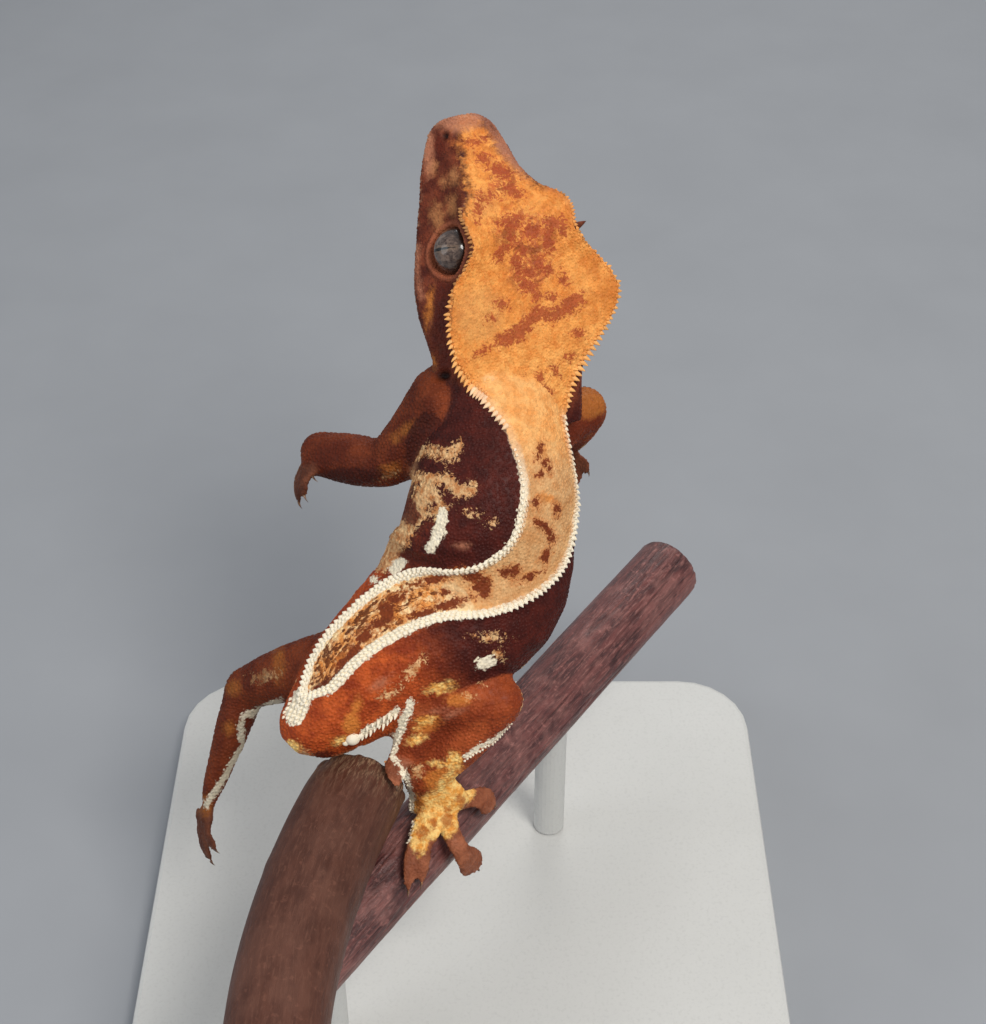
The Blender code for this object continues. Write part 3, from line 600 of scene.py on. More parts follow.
# The ridge from eye to nostril, a shallow hollow in front of the eye and behind the crest, and the jaw muscle.
moves -= no * (head_w * 0.35 * np.exp(-(((hx - 19.5) / 2.6) ** 2) - (((np.abs(hl) - 7.3) / 1.6) ** 2) - (((hu + 5.0) / 2.0) ** 2)))[:, None]
moves += no * (head_w * 0.45 * np.exp(-(((hx - 1.0) / 4.0) ** 2) - (((hu + 7.2) / 2.6) ** 2)) * (np.abs(hl) > 6))[:, None]
moves -= no * (head_w * 0.32 * np.exp(-(((hx - 9.0) / 5.0) ** 2) - ((hl / 3.0) ** 2)) * (hu > -3))[:, None]


def skin_hit(tree, across, down):
    """The first skin point seen at this place, or the nearest one to the line of sight."""
    eye = Vector(EYE_AT)
    way = (seen(across, down) - eye).normalized()
    hit = tree.ray_cast(eye, way, 600)
    if hit[0] is not None:
        return hit[0], hit[1]
    best = min((tree.find_nearest(eye + way * t)[3], t) for t in np.arange(200, 330, 1.0))
    found = tree.find_nearest(eye + way * best[1])
    return found[0], found[1]


polys = [tuple(p.vertices) for p in made.polygons]
tree = BVHTree.FromPolygons([Vector(p) for p in co], polys)
nostril_at, _ = skin_hit(tree, 445, 136)
nx, nl, nu = (float(v[0]) for v in in_axes(np.array([nostril_at]), HEAD_ORIGIN, HEAD_ALONG, HEAD_LEFT, HEAD_UP))
# pit marks the nostrils and ear openings: the scales keep out of them, and the skin paint fills them near black as
# painted shade inside the holes.
pit = np.zeros(len(co))
for sign in (1, -1):
    at, normal, _, _ = tree.find_nearest(head_point(nx, sign * nl, nu))
    d = np.linalg.norm(co - np.array(at), axis=1)
    moves -= np.array(normal) * (0.6 * np.exp(-((d / 0.5) ** 2)))[:, None]
    moves += np.array(normal) * (0.16 * np.exp(-(((d - 0.95) / 0.35) ** 2)))[:, None]
    pit = np.maximum(pit, np.exp(-((d / 0.55) ** 4)))
    at, normal, _, _ = tree.find_nearest(head_point(-4.6, sign * 12.5, -6.8))
    dx, dl, du = in_axes(co, at, HEAD_ALONG, HEAD_LEFT, HEAD_UP)
    d = np.sqrt((dx / 0.75) ** 2 + (du / 1.35) ** 2 + (dl / 1.6) ** 2)
    moves -= np.array(normal) * (0.75 * np.exp(-((d / 0.85) ** 2)))[:, None]
    moves += np.array(normal) * (0.2 * np.exp(-(((d - 1.45) / 0.4) ** 2)))[:, None]
    pit = np.maximum(pit, np.exp(-((d / 0.8) ** 4)))

# Loose skin: soft lumps over the body, finer creases where the limbs bend and at the neck.
trunk_w = on["trunk"]
moves += no * (trunk_w * 0.20 * lumps(co / 5.5, 3))[:, None]
ribs = np.sin(s_at * 2 * math.pi / 3.4 + 0.10 * z_at**1) * ease(0.0, 3.0, np.abs(x_at) - 5.5) * ease(16, 24, s_at) * ease(50, 42, s_at)
moves += no * (trunk_w * 0.07 * ribs)[:, None]
moves += no * (on["limbs"] * 0.10 * lumps(co / 2.2, 11))[:, None]
neck_folds = np.sin(s_at * 2 * math.pi / 2.1 + 1.4 * lump(co / 4.0, 5)) * ease(50, 55, s_at) * ease(0.5, -1.0, z_at)
moves += no * (trunk_w * 0.12 * neck_folds)[:, None]
bend = np.zeros(len(co))
for g in LIMBS.values():
    d = np.linalg.norm(co - np.array(g["mid"]), axis=1)
    bend = np.maximum(bend, np.exp(-((d / 4.5) ** 2)))
moves += no * (bend * 0.08 * np.sin(((co @ np.array(NEAR)) + lump(co / 2.5, 9)) * 2 * math.pi / 1.5))[:, None]
# A dimple and a low swelling each side of the vent.
moves += no * (trunk_w * 0.30 * np.exp(-(((s_at - 5.0) / 2.0) ** 2) - (((np.abs(x_at) - 3.4) / 1.3) ** 2)) * (z_at < 0.5))[:, None]
moves -= no * (trunk_w * 0.22 * np.exp(-(((s_at - 7.6) / 0.5) ** 2)) * (z_at < -1.5))[:, None]

co = co + moves
co = relaxed(co, np.full(len(co), 0.25), 1)
put(skin, co)
co, no = vectors(skin)
tree = BVHTree.FromPolygons([Vector(p) for p in co], polys)

# ---------------------------------------------------------------- the markings
print("markings")
# Signed distance from the edge of the band along the back, which becomes the crest on the head: negative within it.
width_at = np.interp(s_at, LINE_S, LINE_ROWS[:, 7])
band_trunk = np.abs(x_at) - width_at
band_trunk = np.where(z_at > 0, band_trunk, np.maximum(band_trunk, 4.0))
stem_end = 2.6 - s_at
band_trunk = np.where(s_at < 6.0, np.maximum(band_trunk, stem_end), band_trunk)
crest_x = np.linspace(HEAD_BACK, HEAD_TIP, 160)
crest = np.array([[x, along(CREST_HALF, x), along(CREST_HEIGHT, x)] for x in crest_x])
near_crest = np.full(len(co), 1e9)
for lo in range(0, len(co), 8000):
    q = np.column_stack([hx[lo : lo + 8000], np.abs(hl[lo : lo + 8000]), hu[lo : lo + 8000]])
    near_crest[lo : lo + 8000] = np.sqrt(((q[:, None] - crest[None]) ** 2).sum(2).min(1))
mid_up = 0.5 * (table(CREST_HEIGHT, hx) + table(THROAT_HEIGHT, hx))
angle = np.arctan2(np.abs(hl), hu - mid_up)
edge = np.arctan2(table(CREST_HALF, hx), table(CREST_HEIGHT, hx) - mid_up)
band_head = np.sign(angle - edge) * near_crest
head_mix = ease(-15.5, -12.0, hx) * ease(0.15, 0.6, head_w)
band = band_trunk * (1 - head_mix) + band_head * head_mix
# The crest runs on into the band at the left of the nape.
bridge = (np.interp(py, [378, 385, 401, 414, 427, 442], [459, 467, 486, 497, 507, 514]) - px) * 0.75 * STEP
bridge_at = ease(377, 383, py) * ease(444, 436, py) * (px < 534) * (face_on > 0.0) * (on["limbs"] < 0.5)
band = np.where(bridge_at > 0.5, np.where(bridge < 0.6, np.minimum(band, bridge), np.maximum(band, 0.6)), band)
band = band + 6.0 * ease(0.35, 0.75, on["limbs"])
belly = np.where(head_mix > 0.5, ease(-9.5, -11.5, hu), ease(-0.45, -0.85, z_at / (np.interp(s_at, LINE_S, LINE_ROWS[:, 6]) + 1e-3)))
belly = belly * (1 - on["limbs"])
deep = np.maximum(ease(20, 33, s_at - 0.35 * x_at), head_mix)
hidden = ease(0.22, -0.12, face_on)

FAR = -2.5
KINDS = ("white", "tan", "brown", "orange", "maroon", "grey", "pink", "yellow", "net", "speck", "soft")
marks = {k: np.full(len(co), FAR) for k in KINDS}
pxmm = STEP


def spot(kind, group, across, down, wide, high, turn=0.0):
    """An oval marking at this place of the view, on the seen side of one part."""
    c, s = math.cos(math.radians(turn)), math.sin(math.radians(turn))
    dx, dy = px - across, -(py - down)
    u, v = (dx * c + dy * s) / wide, (-dx * s + dy * c) / high
    value = (1 - np.sqrt(u * u + v * v)) * min(wide, high) * pxmm
    value = np.where((on[group] > 0.35) & (face_on > -0.12), value, FAR)
    marks[kind] = np.maximum(marks[kind], value)


def streak(kind, group, points, radius):
    """A marking along a run of places of the view."""
    best = np.full(len(co), 1e9)
    p = np.column_stack([px, py])
    for a, b in zip(points, points[1:]):
        a, b = np.array(a, float), np.array(b, float)
        t = np.clip(((p - a) @ (b - a)) / ((b - a) @ (b - a)), 0, 1)
        best = np.minimum(best, np.linalg.norm(p - a - t[:, None] * (b - a), axis=1))
    value = (radius - best) * pxmm
    value = np.where((on[group] > 0.35) & (face_on > -0.12), value, FAR)
    marks[kind] = np.maximum(marks[kind], value)


# Neck, back and flanks
for across, down, wide, high, turn in (
    (540, 452, 3, 8, -12), (546, 463, 4, 4, 0), (541, 474, 3, 3.5, 0), (550, 469, 2.6, 4, 0), (537, 503, 3, 4.5, 15), (557, 509, 3.2, 5, 10),
    (540, 524, 6, 3.6, -20), (549, 532, 8, 4, -50), (552, 539, 3.5, 4, 0), (546, 555, 4.4, 7, -25), (506, 573, 6.5, 3.4, -20), (516, 569, 5, 4, 0),
    (530, 577, 7, 2.2, 25), (474, 577, 13, 4.5, -14), (482, 586, 8, 6.5, 0), (484, 594, 5, 4, 0), (436, 579, 17, 3, 12), (445, 592, 4.5, 3, 0), (452, 603, 17, 3.6, 14),
    (423, 613, 13, 4, 18), (386, 611, 8, 9, 40), (396, 598, 9, 5, 30), (380, 622, 9, 4.5, 20), (364, 637, 9, 5, 35), (354, 651, 9, 4.5, 40), (341, 664, 8, 3.5, 40),
):
    spot("brown", "trunk", across, down, wide, high, turn)
spot("maroon", "trunk", 322, 686, 17, 5.5, 38)
spot("maroon", "trunk", 340, 672, 9, 4.0, 38)
spot("orange", "trunk", 547, 498, 8, 4.5, -20)
spot("orange", "trunk", 340, 662, 9, 6, 30)
streak("white", "trunk", [(443, 512), (440, 527), (434, 543), (429, 549)], 5.4)
spot("tan", "trunk", 466, 494, 5, 3.2, 15)
spot("white", "trunk", 396, 566, 9, 5.5, 35)
spot("white", "trunk", 374, 579, 5, 3.5, 30)
streak("tan", "trunk", [(403, 478), (428, 479), (446, 478), (460, 490), (470, 490)], 6)
streak("tan", "trunk", [(458, 446), (450, 456), (440, 453), (424, 450), (414, 455)], 5)
streak("tan", "trunk", [(425, 492), (418, 512), (402, 532), (392, 548), (384, 562)], 10)
streak("tan", "trunk", [(436, 497), (444, 508), (430, 516)], 5)
spot("maroon", "trunk", 410, 512, 9, 14, 15)
spot("maroon", "trunk", 429, 526, 8, 5.5, 10)
spot("maroon", "trunk", 418, 540, 6, 9, 0)
spot("maroon", "trunk", 414, 555, 15, 4, -5)
spot("tan", "trunk", 473, 514, 5, 2.2, 0)
spot("tan", "trunk", 493, 523, 2.2, 2, 0)
spot("pink", "trunk", 463, 546, 4, 2, 0)
spot("tan", "trunk", 491, 637, 9, 3.2, 0)
spot("white", "trunk", 487, 663, 12, 6.5, 12)
spot("tan", "trunk", 498, 655, 6, 5, 40)
spot("tan", "trunk", 415, 667, 11, 4.5, 48)
spot("tan", "trunk", 389, 694, 7, 2.8, 25)
spot("pink", "trunk", 380, 684, 8, 3, 30)
spot("orange", "trunk", 352, 726, 8, 12, 0)
spot("orange", "trunk", 357, 706, 4.5, 8, -10)
spot("yellow", "trunk", 341, 741, 9, 4, 15)
spot("white", "trunk", 353, 739, 6, 5, 0)
streak("white", "trunk", [(362, 735), (372, 727), (384, 720), (397, 711)], 3.2)
spot("yellow", "trunk", 291, 748, 9, 7, 0)
spot("tan", "trunk", 306, 757, 10, 4.5, -10)
spot("maroon", "trunk", 322, 756, 12, 4.5, 10)

# Head
streak("white", "trunk", [(301, 697), (294, 716)], 9.5)
streak("tan", "right_hind", [(428, 675), (450, 675), (470, 678), (484, 681)], 1.1)
spot("pink", "head", 458, 119, 27, 12, 0)
spot("pink", "head", 428, 150, 6, 20, 0)
spot("net", "head", 526, 234, 44, 30, -25)
spot("net", "head", 530, 270, 26, 26, 0)
spot("net", "head", 502, 182, 22, 24, -40)
for across, down, wide, high, turn in (
    (476, 140, 10, 3, 10), (484, 158, 6, 4, 0), (500, 170, 12, 5, -25), (514, 191, 9, 6, -30), (489, 197, 5, 3.5, 0), (479, 208, 3, 8, 0),
    (511, 223, 11, 7, -5), (506, 248, 9, 4.5, 30), (500, 256, 5, 6, 0), (518, 262, 4.5, 9, 20), (513, 238, 6, 4.5, 0), (540, 263, 8, 5, -50), (523, 252, 5, 4, 0), (531, 272, 6, 7, 40), (534, 288, 5, 5, 0), (502, 304, 6, 4.5, 0),
    (552, 297, 4, 4, 0), (537, 297, 4, 5, 0), (549, 270, 4, 5, 0), (578, 334, 4, 3, 0), (492, 318, 3, 2.5, 0), (524, 283, 4, 6, 0), (564, 278, 4, 6, 20),
    (515, 391, 2.6, 4, 20), (528, 386, 2.4, 5, 25), (541, 379, 2.4, 4.5, 25), (549, 392, 2.2, 5, 20), (534, 402, 2.2, 4, 20), (556, 372, 2.4, 4, 30), (505, 398, 2.2, 3, 0), (571, 357, 3, 2.5, 0),
):
    spot("brown", "head", across, down, wide, high, turn)
spot("brown", "head", 532, 231, 8, 8, 0)
spot("brown", "head", 553, 223, 9, 6.5, 0)
spot("brown", "head", 549, 243, 6, 7.5, 25)
spot("brown", "head", 563, 229, 3.5, 5, 0)
spot("orange", "head", 553, 222, 4.5, 3, 0)
streak("brown", "head", [(505, 340), (514, 337), (524, 329), (531, 318), (541, 313), (554, 315), (566, 309), (579, 299)], 6.2)
streak("brown", "head", [(499, 344), (487, 348), (475, 356)], 2.0)
spot("orange", "head", 611, 298, 10, 20, 0)
spot("orange", "head", 592, 299, 8, 4, 20)
spot("orange", "head", 592, 262, 5, 15, 30)
spot("grey", "head", 480, 314, 24, 27, 0)
spot("grey", "head", 484, 205, 11, 12, 0)
spot("soft", "head", 452, 205, 7, 10, -10)
spot("soft", "head", 436, 217, 6, 12, 12)
spot("soft", "head", 432, 166, 4, 7, 0)
spot("soft", "head", 443, 181, 3, 4, 0)
spot("soft", "head", 453, 178, 5, 8, 0)
spot("orange", "head", 430, 308, 3.6, 15, -8)
spot("orange", "head", 437, 356, 3, 10, -20)
spot("maroon", "head", 443, 305, 9, 34, 0)
spot("maroon", "head", 443, 352, 9, 20, 15)
spot("maroon", "head", 439, 146, 5, 9, 0)
spot("maroon", "head", 459, 208, 3.5, 14, 5)
spot("pink", "head", 506, 147, 30, 7, -56)
streak("pink", "head", [(417, 246), (416, 266), (418, 284), (421, 298)], 1.6)
spot("orange", "head", 558, 194, 15, 6, -25)
spot("orange", "head", 573, 207, 6, 12, 30)
streak("pink", "head", [(552, 186), (566, 194), (576, 206), (581, 220)], 4.5)

# Left arm, left leg
spot("orange", "left_fore", 406, 430, 13, 5, 35)
spot("orange", "left_fore", 395, 437, 7, 5, 30)
spot("orange", "left_fore", 388, 471, 12, 5.5, 20)
spot("tan", "left_fore", 384, 478, 7, 2.6, 20)
spot("maroon", "left_fore", 424, 440, 18, 30, -20)
spot("maroon", "left_fore", 355, 476, 30, 9, 0)
spot("orange", "left_hind", 278, 664, 5.5, 16, 0)
spot("tan", "left_hind", 263, 677, 11, 5, 10)
spot("orange", "left_hind", 233, 688, 8, 8, 0)
spot("orange", "left_hind", 229, 729, 6.5, 7, 0)
streak("white", "left_hind", [(280, 702), (262, 710), (244, 717), (240, 727), (243, 745), (233, 764), (223, 780), (213, 795), (206, 806)], 3.4)
spot("orange", "left_hind", 205, 806, 8, 10, 0)
# Right leg and foot
spot("yellow", "right_hind", 442, 689, 13, 4.5, 14)
spot("yellow", "trunk", 440, 688, 13, 4.5, 14)
spot("yellow", "right_hind", 426, 722, 9, 4, 30)
spot("orange", "right_hind", 424, 689, 13, 5, 28)
spot("orange", "right_hind", 459, 700, 12, 5.5, 8)
spot("tan", "right_hind", 468, 697, 4, 3, 0)
spot("pink", "right_hind", 438, 711, 6.5, 2, 8)
spot("pink", "right_hind", 454, 714, 6.5, 2, 22)
spot("pink", "right_hind", 398, 694, 6, 2.4, 35)
spot("orange", "right_hind", 427, 725, 13, 8, 25)
spot("yellow", "right_hind", 416, 740, 10, 4, 20)
spot("yellow", "right_hind", 454, 762, 8, 10, 0)
spot("yellow", "right_hind", 438, 765, 9, 3, -12)
spot("tan", "right_hind", 418, 772, 5.5, 6, 0)
spot("orange", "right_hind", 447, 780, 22, 14, 10)
spot("yellow", "right_hind", 456, 790, 19, 17, 0)
spot("yellow", "right_hind", 437, 816, 25, 24, 0)
spot("yellow", "right_hind", 418, 826, 12, 28, 6)
spot("speck", "right_hind", 448, 820, 4, 8, 0)
spot("speck", "right_hind", 433, 824, 2.6, 3, 0)
spot("speck", "right_hind", 422, 832, 5, 5.5, 0)
spot("speck", "right_hind", 461, 800, 4, 4, 0)
spot("speck", "right_hind", 419, 805, 4, 7, 0)
streak("white", "right_hind", [(466, 757), (480, 748), (496, 739), (507, 732), (519, 723)], 2.6)
streak("white", "right_hind", [(411, 703), (405, 718), (398, 735), (391, 752)], 4.6)
streak("white", "right_hind", [(392, 756), (401, 768), (407, 782), (411, 798), (411, 815), (407, 840)], 3.0)
# The right elbow behind the head
spot("orange", "right_fore", 588, 398, 24, 20, 0)

# Sides that the view doesn't show carry the same kinds of marking, set by soft noise.
patch, patch2 = lumps(co / 5.0, 21, 2), lumps(co / 3.2, 33, 2)
side_w = hidden * (1 - belly)
marks["tan"] = np.maximum(marks["tan"], np.where(side_w > 0.3, (patch - 0.34) * 4.0 - 0.6 * (1 - side_w), FAR))
marks["brown"] = np.maximum(marks["brown"], np.where((hidden > 0.3) & (on["limbs"] > 0.4), (patch2 - 0.40) * 3.0, FAR))
marks["white"] = np.maximum(marks["white"], np.where((side_w > 0.5) & (on["trunk"] > 0.6) & (s_at > 12), (patch2 + 0.5 * patch - 0.66) * 3.0, FAR))

lip_pale = np.exp(-(((mouth - 0.7) / 0.6) ** 2)) * (hx > 3) * head_w
VALUES = {
    "band": band, "along": s_at, "head": head_mix, "limb": ease(0.35, 0.7, on["limbs"]), "foot": ease(0.3, 0.75, on["feet"]),
    "belly": belly, "deep": deep, "pit": pit, "lid": lid, "lip": lip_pale, "bent": bend,
}
VALUES["face"] = head_mix * ease(-0.1, 0.5, band_head)
VALUES["across"] = x_at
VALUES["snout"] = head_mix * ease(12.5, 18.5, hx)
VALUES["hind_head"] = head_mix * ease(0.0, -9.0, hx)
# Painted shade: how far each point lies on the left limbs or the right foreleg, which are darkened in colour as if in
# shadow.
VALUES["dim"] = np.clip(on["left_fore"] + on["left_hind"] + 0.6 * on["right_fore"], 0, 1)
for kind in KINDS:
    VALUES["m_" + kind] = marks[kind]
VALUES["tooth"] = np.zeros(len(co))
VALUES = {k: np.clip(v, -20 if k == "across" else -6, 90) for k, v in VALUES.items()}
for key, value in VALUES.items():
    made.attributes.new(key, "FLOAT", "POINT").data.foreach_set("value", np.asarray(value, np.float32))

# ---------------------------------------------------------------- an unwrap of the skin, part by part, for the scales


def unwrapped(points, weights):
    """A place in the unit square for each point: each part unrolled about its own middle line, in its own tile."""
    best = np.argmax(weights, axis=1)
    uv = np.zeros((len(points), 2))
    s, x, z = trunk_places(points)
    x0, l0, u0 = in_axes(points, HEAD_ORIGIN, HEAD_ALONG, HEAD_LEFT, HEAD_UP)
    for j, name in enumerate(PART_NAMES):
        pick = best == j
        if not pick.any():
            continue
        if name == "trunk":
            a, b = s / LINE_S[-1], np.arctan2(x, z) / (2 * math.pi) + 0.5
            tile = (0.01, 0.01, 0.42, 0.98)
        elif name == "head":
            a, b = (x0 + 16) / 48, np.arctan2(l0, u0 + 6) / (2 * math.pi) + 0.5
            tile = (0.45, 0.01, 0.26, 0.98)
        else:
            key, part = name.rsplit("_", 1)
            g = LIMBS[key]
            ends = {"upper": (g["root"], g["mid"]), "lower": (g["mid"], g["end"]), "foot": (g["end"], g["palm"] + (g["palm"] - g["end"]))}[part]
            f = (ends[1] - ends[0]).normalized()
            side = g["up"].cross(f).normalized()
            t, p, q = in_axes(points, ends[0], f, side, f.cross(side))
            a, b = (t + 6) / ((ends[1] - ends[0]).length + 16), np.arctan2(p, q) / (2 * math.pi) + 0.5
            row, column = list(LIMBS).index(key), ("upper", "lower", "foot").index(part)
            tile = (0.73 + 0.09 * column, 0.01 + 0.245 * row, 0.08, 0.23)
        uv[pick, 0] = tile[0] + tile[2] * np.clip(a[pick], 0, 1)
        uv[pick, 1] = tile[1] + tile[3] * np.clip(b[pick], 0, 1)
    return uv


# ---------------------------------------------------------------- scales
print("scales")
made.calc_loop_triangles()
tri = np.empty(len(made.loop_triangles) * 3, np.int32)
made.loop_triangles.foreach_get("vertices", tri)
tri = tri.reshape(-1, 3)
print("skin triangles", len(tri))
cross = np.cross(co[tri[:, 1]] - co[tri[:, 0]], co[tri[:, 2]] - co[tri[:, 0]])
area = 0.5 * np.linalg.norm(cross, axis=1)
COUNT = 130000
pick = np.searchsorted(np.cumsum(area) / area.sum(), RNG.random(COUNT))
r1, r2 = np.sqrt(RNG.random(COUNT)), RNG.random(COUNT)
bary = np.column_stack([1 - r1, r1 * (1 - r2), r1 * r2])


def spread(values, which, weights):
    return (values[tri[which]] * (weights[..., None] if values.ndim > 1 else weights)).sum(1)


roots = spread(co, pick, bary)
gap_at = 0.50 - 0.08 * head_mix - 0.10 * ease(0.4, 0.8, on["feet"]) - 0.06 * VALUES["face"] + 0.02 * VALUES["limb"]
gaps = spread(gap_at, pick, bary)
keep_out = spread(np.maximum(pit, np.exp(-((mouth / 0.25) ** 2))), pick, bary)
for centre, look in eyes.values():
    d = roots - centre
    h = d @ look
    rho = np.linalg.norm(d - h[:, None] * look, axis=1)
    keep_out = np.maximum(keep_out, (rho < 3.45) & (h > -1.0) & (h < 5))
kd = KDTree(COUNT)
for i, p in enumerate(roots):
    kd.insert(p, i)
kd.balance()
state = np.where(keep_out > 0.5, 2, 0).astype(np.int8)
chosen = []
for i in range(COUNT):
    if state[i]:
        continue
    chosen.append(i)
    for _, j, _ in kd.find_range(roots[i], gaps[i]):
        state[j] = 1
chosen = np.array(chosen)
print("granules", len(chosen))


def lie_of(points, normals, forward_s):
    """The direction that scales point in: back along the body, taken from the trunk's middle line nearest to each
    point, on the limbs too.
    """
    lie = np.empty_like(points)
    mids = LINE_ROWS[:, :3]
    fronts = np.array([list(a[2]) for a in LINE_AXES])
    for lo in range(0, len(points), 8000):
        p = points[lo : lo + 8000]
        i = np.argmin(((p[:, None, :] - mids[None]) ** 2).sum(2), axis=1)
        lie[lo : lo + 8000] = -fronts[i]
    lie = lie - normals * (lie * normals).sum(1, keepdims=True)
    return lie / (np.linalg.norm(lie, axis=1, keepdims=True) + 1e-9)


def tufts(name, template, faces, at, along_dir, up_dir, size, values, uv):
    """Copies of a small template joined into one mesh. The template's columns are along, across and up."""
    n, m = len(at), len(template)
    across = np.cross(up_dir, along_dir)
    across /= np.linalg.norm(across, axis=1, keepdims=True) + 1e-9
    size = np.asarray(size, float)
    if size.ndim == 1:
        size = np.repeat(size[:, None], 3, axis=1)
    t = np.asarray(template, float)
    points = (at[:, None, :] + along_dir[:, None, :] * (t[None, :, 0:1] * size[:, None, 0:1]) + across[:, None, :] * (t[None, :, 1:2] * size[:, None, 1:2]) + up_dir[:, None, :] * (t[None, :, 2:3] * size[:, None, 2:3])).reshape(-1, 3)
    flat = np.concatenate([np.array(f) for f in faces])
    loops = (flat[None, :] + (np.arange(n) * m)[:, None]).ravel()
    sizes = np.tile([len(f) for f in faces], n)
    spread_uv = t[:, :2] / (np.abs(t[:, :2]).max() + 1e-9) * 0.0015
    uvs = (uv[:, None, :] + spread_uv[None]).reshape(-1, 2)
    return array_mesh(name, points, loops, sizes, {k: np.repeat(v, m) for k, v in values.items()}, uvs)


def granule():
    pts, faces, n = [], [], 5
    for i in range(n):
        a = 2 * math.pi * i / n
        pts.append((1.12 * math.cos(a), math.sin(a), -0.30))
    for i in range(n):
        a = 2 * math.pi * i / n
        pts.append((0.66 * math.cos(a) + 0.10, 0.62 * math.sin(a), 0.52))
    for i in range(n):
        k = (i + 1) % n
        faces.append((i, k, n + k, n + i))
    faces.append(tuple(range(n, 2 * n)))
    return pts, faces


sel, wts = pick[chosen], bary[chosen]
g_at, g_no = roots[chosen], spread(no, sel, wts)
g_no /= np.linalg.norm(g_no, axis=1, keepdims=True)
g_values = {k: spread(np.asarray(v, float), sel, wts) for k, v in VALUES.items()}
g_uv = unwrapped(g_at, spread(blend_w, sel, wts))
g_dir = lie_of(g_at, g_no, None)
turn = RNG.normal(0, 0.25, len(g_at))[:, None]
g_dir = g_dir * np.cos(turn) + np.cross(g_no, g_dir) * np.sin(turn)
half = gaps[chosen] * 0.60 * RNG.uniform(0.88, 1.10, len(g_at))
raised = np.where(np.abs(g_values["band"] + 0.6) < 0.9, 1.35, 1.0) * np.where(g_values["foot"] > 0.5, 0.8, 1.0) * np.where(g_values["belly"] > 0.5, 0.7, 1.0)
g_size = np.column_stack([half, half, 0.17 * raised * half / 0.3])
g_values["tooth"] = np.zeros(len(g_at))
template, faces = granule()
order = np.argsort(g_values["along"] + 200 * g_values["limb"] + 100 * g_values["head"])
scale_pieces = []
for k, part in enumerate(np.array_split(order, 3)):
    scale_pieces.append(tufts(f"scales_{('hind', 'mid', 'fore')[k]}", template, faces, g_at[part], g_dir[part], g_no[part], g_size[part], {key: v[part] for key, v in g_values.items()}, g_uv[part]))

# ---------------------------------------------------------------- crest, lashes and fringes


def spike(n=7):
    """A flattened cone, along its first axis, with its foot sunk below the skin."""
    pts, faces = [], []
    rings = ((-0.28, 0.46, 0.34, -0.10), (0.10, 0.50, 0.36, 0.0), (0.45, 0.36, 0.26, 0.03), (0.78, 0.17, 0.13, 0.02))
    for a, w, t, z in rings:
        for i in range(n):
            th = 2 * math.pi * i / n
            pts.append((a, w * math.cos(th), z + t * math.sin(th)))
    pts.append((1.0, 0.0, 0.0))
    for j in range(len(rings) - 1):
        for i in range(n):
            k = (i + 1) % n
            faces.append((j * n + i, j * n + k, (j + 1) * n + k, (j + 1) * n + i))
    last = (len(rings) - 1) * n
    for i in range(n):
        faces.append((last + i, last + (i + 1) % n, len(pts) - 1))
    return pts, faces


teeth = []  # place, direction, up, length, width, paleness


def tooth(near_point, way, long, wide, pale, sink=0.0):
    at, normal, _, _ = tree.find_nearest(near_point)
    up = normal - way * normal.dot(way)
    up = up.normalized() if up.length > 0.05 else NEAR.copy()
    teeth.append((at - normal * sink, way.normalized(), up, long, wide, pale))


# Along the head's crest on both sides, from behind the eye to the nape.
for sign in (1, -1):
    run, last = 0.0, None
    for x in np.arange(8.6, HEAD_BACK + 2.4, -0.05):
        wide, high = along(CREST_HALF, x), along(CREST_HEIGHT, x)
        at = head_point(x, along(NAPE_LEFT, x) + sign * wide, high)
        if last is not None:
            run += (at - last).length
        last = at
        if run < 0.82 or (sign > 0 and x < -12.2):
            continue
        run = 0.0
        back = along(CREST_HALF, x - 0.5) - along(CREST_HALF, x + 0.5)
        out = (HEAD_LEFT * sign * 1.0 + HEAD_ALONG * (0.75 * back if back < 0 else 0.9 * back) + HEAD_UP * 0.10 - HEAD_ALONG * 0.22).normalized()
        k = float(ease(8.5, 1.0, np.array([x]))[0])
        nape = math.exp(-(((x + 7.5) / 4.0) ** 2))
        long = 0.34 + (0.46 if sign > 0 else 0.18) * k + (0.62 if sign > 0 else 0.62) * nape + float(RNG.uniform(-0.14, 0.16))
        late = math.exp(-(((x + 12.5) / 4.0) ** 2))
        tooth(at, out, long, 0.62 + 0.16 * nape, 0.10 + 0.16 * k + (0.30 if sign > 0 else 0.60) * late + (float(RNG.uniform(0.0, 0.5)) if sign > 0 and -8 < x < 0 else 0.0))
# A sparser second row just inside it.
    run, last = 0.0, None
    for x in np.arange(7.0, HEAD_BACK + 2.4, -0.05):
        wide, high = along(CREST_HALF, x) - 0.75, along(CREST_HEIGHT, x)
        at = head_point(x, along(NAPE_LEFT, x) + sign * wide, high + 0.2)
        if last is not None:
            run += (at - last).length
        last = at
        if run < 0.84 or (sign > 0 and x < -12.0):
            continue
        run = 0.0
        out = (HEAD_LEFT * sign - HEAD_ALONG * 0.6 + HEAD_UP * 0.45).normalized()
        tooth(at, out, 0.36 + 0.22 * math.exp(-(((x + 8) / 5.0) ** 2)), 0.56, 0.08)
# Lashes over each eye.
for sign in (1, -1):
    for x in np.arange(8.9, 17.9, 0.52):
        wide, high = along(CREST_HALF, x), along(CREST_HEIGHT, x)
        at = head_point(x, sign * wide, high)
        fore = (x - 13.2) / 4.6
        out = (HEAD_LEFT * sign + HEAD_ALONG * (0.55 * fore) + HEAD_UP * 0.12).normalized()
        long = (0.66 if sign > 0 else 0.50) * (0.75 + 0.25 * math.cos(fore * 2.0)) + float(RNG.uniform(-0.08, 0.08))
        tooth(at + HEAD_LEFT * (sign * 0.25) - HEAD_UP * 0.25, out, long, 0.56, 0.12)
tooth(head_point(11.9, -9.2, 1.9), (-HEAD_LEFT + HEAD_ALONG * 0.25 + HEAD_UP * 0.15).normalized(), 1.7, 1.15, 0.06)
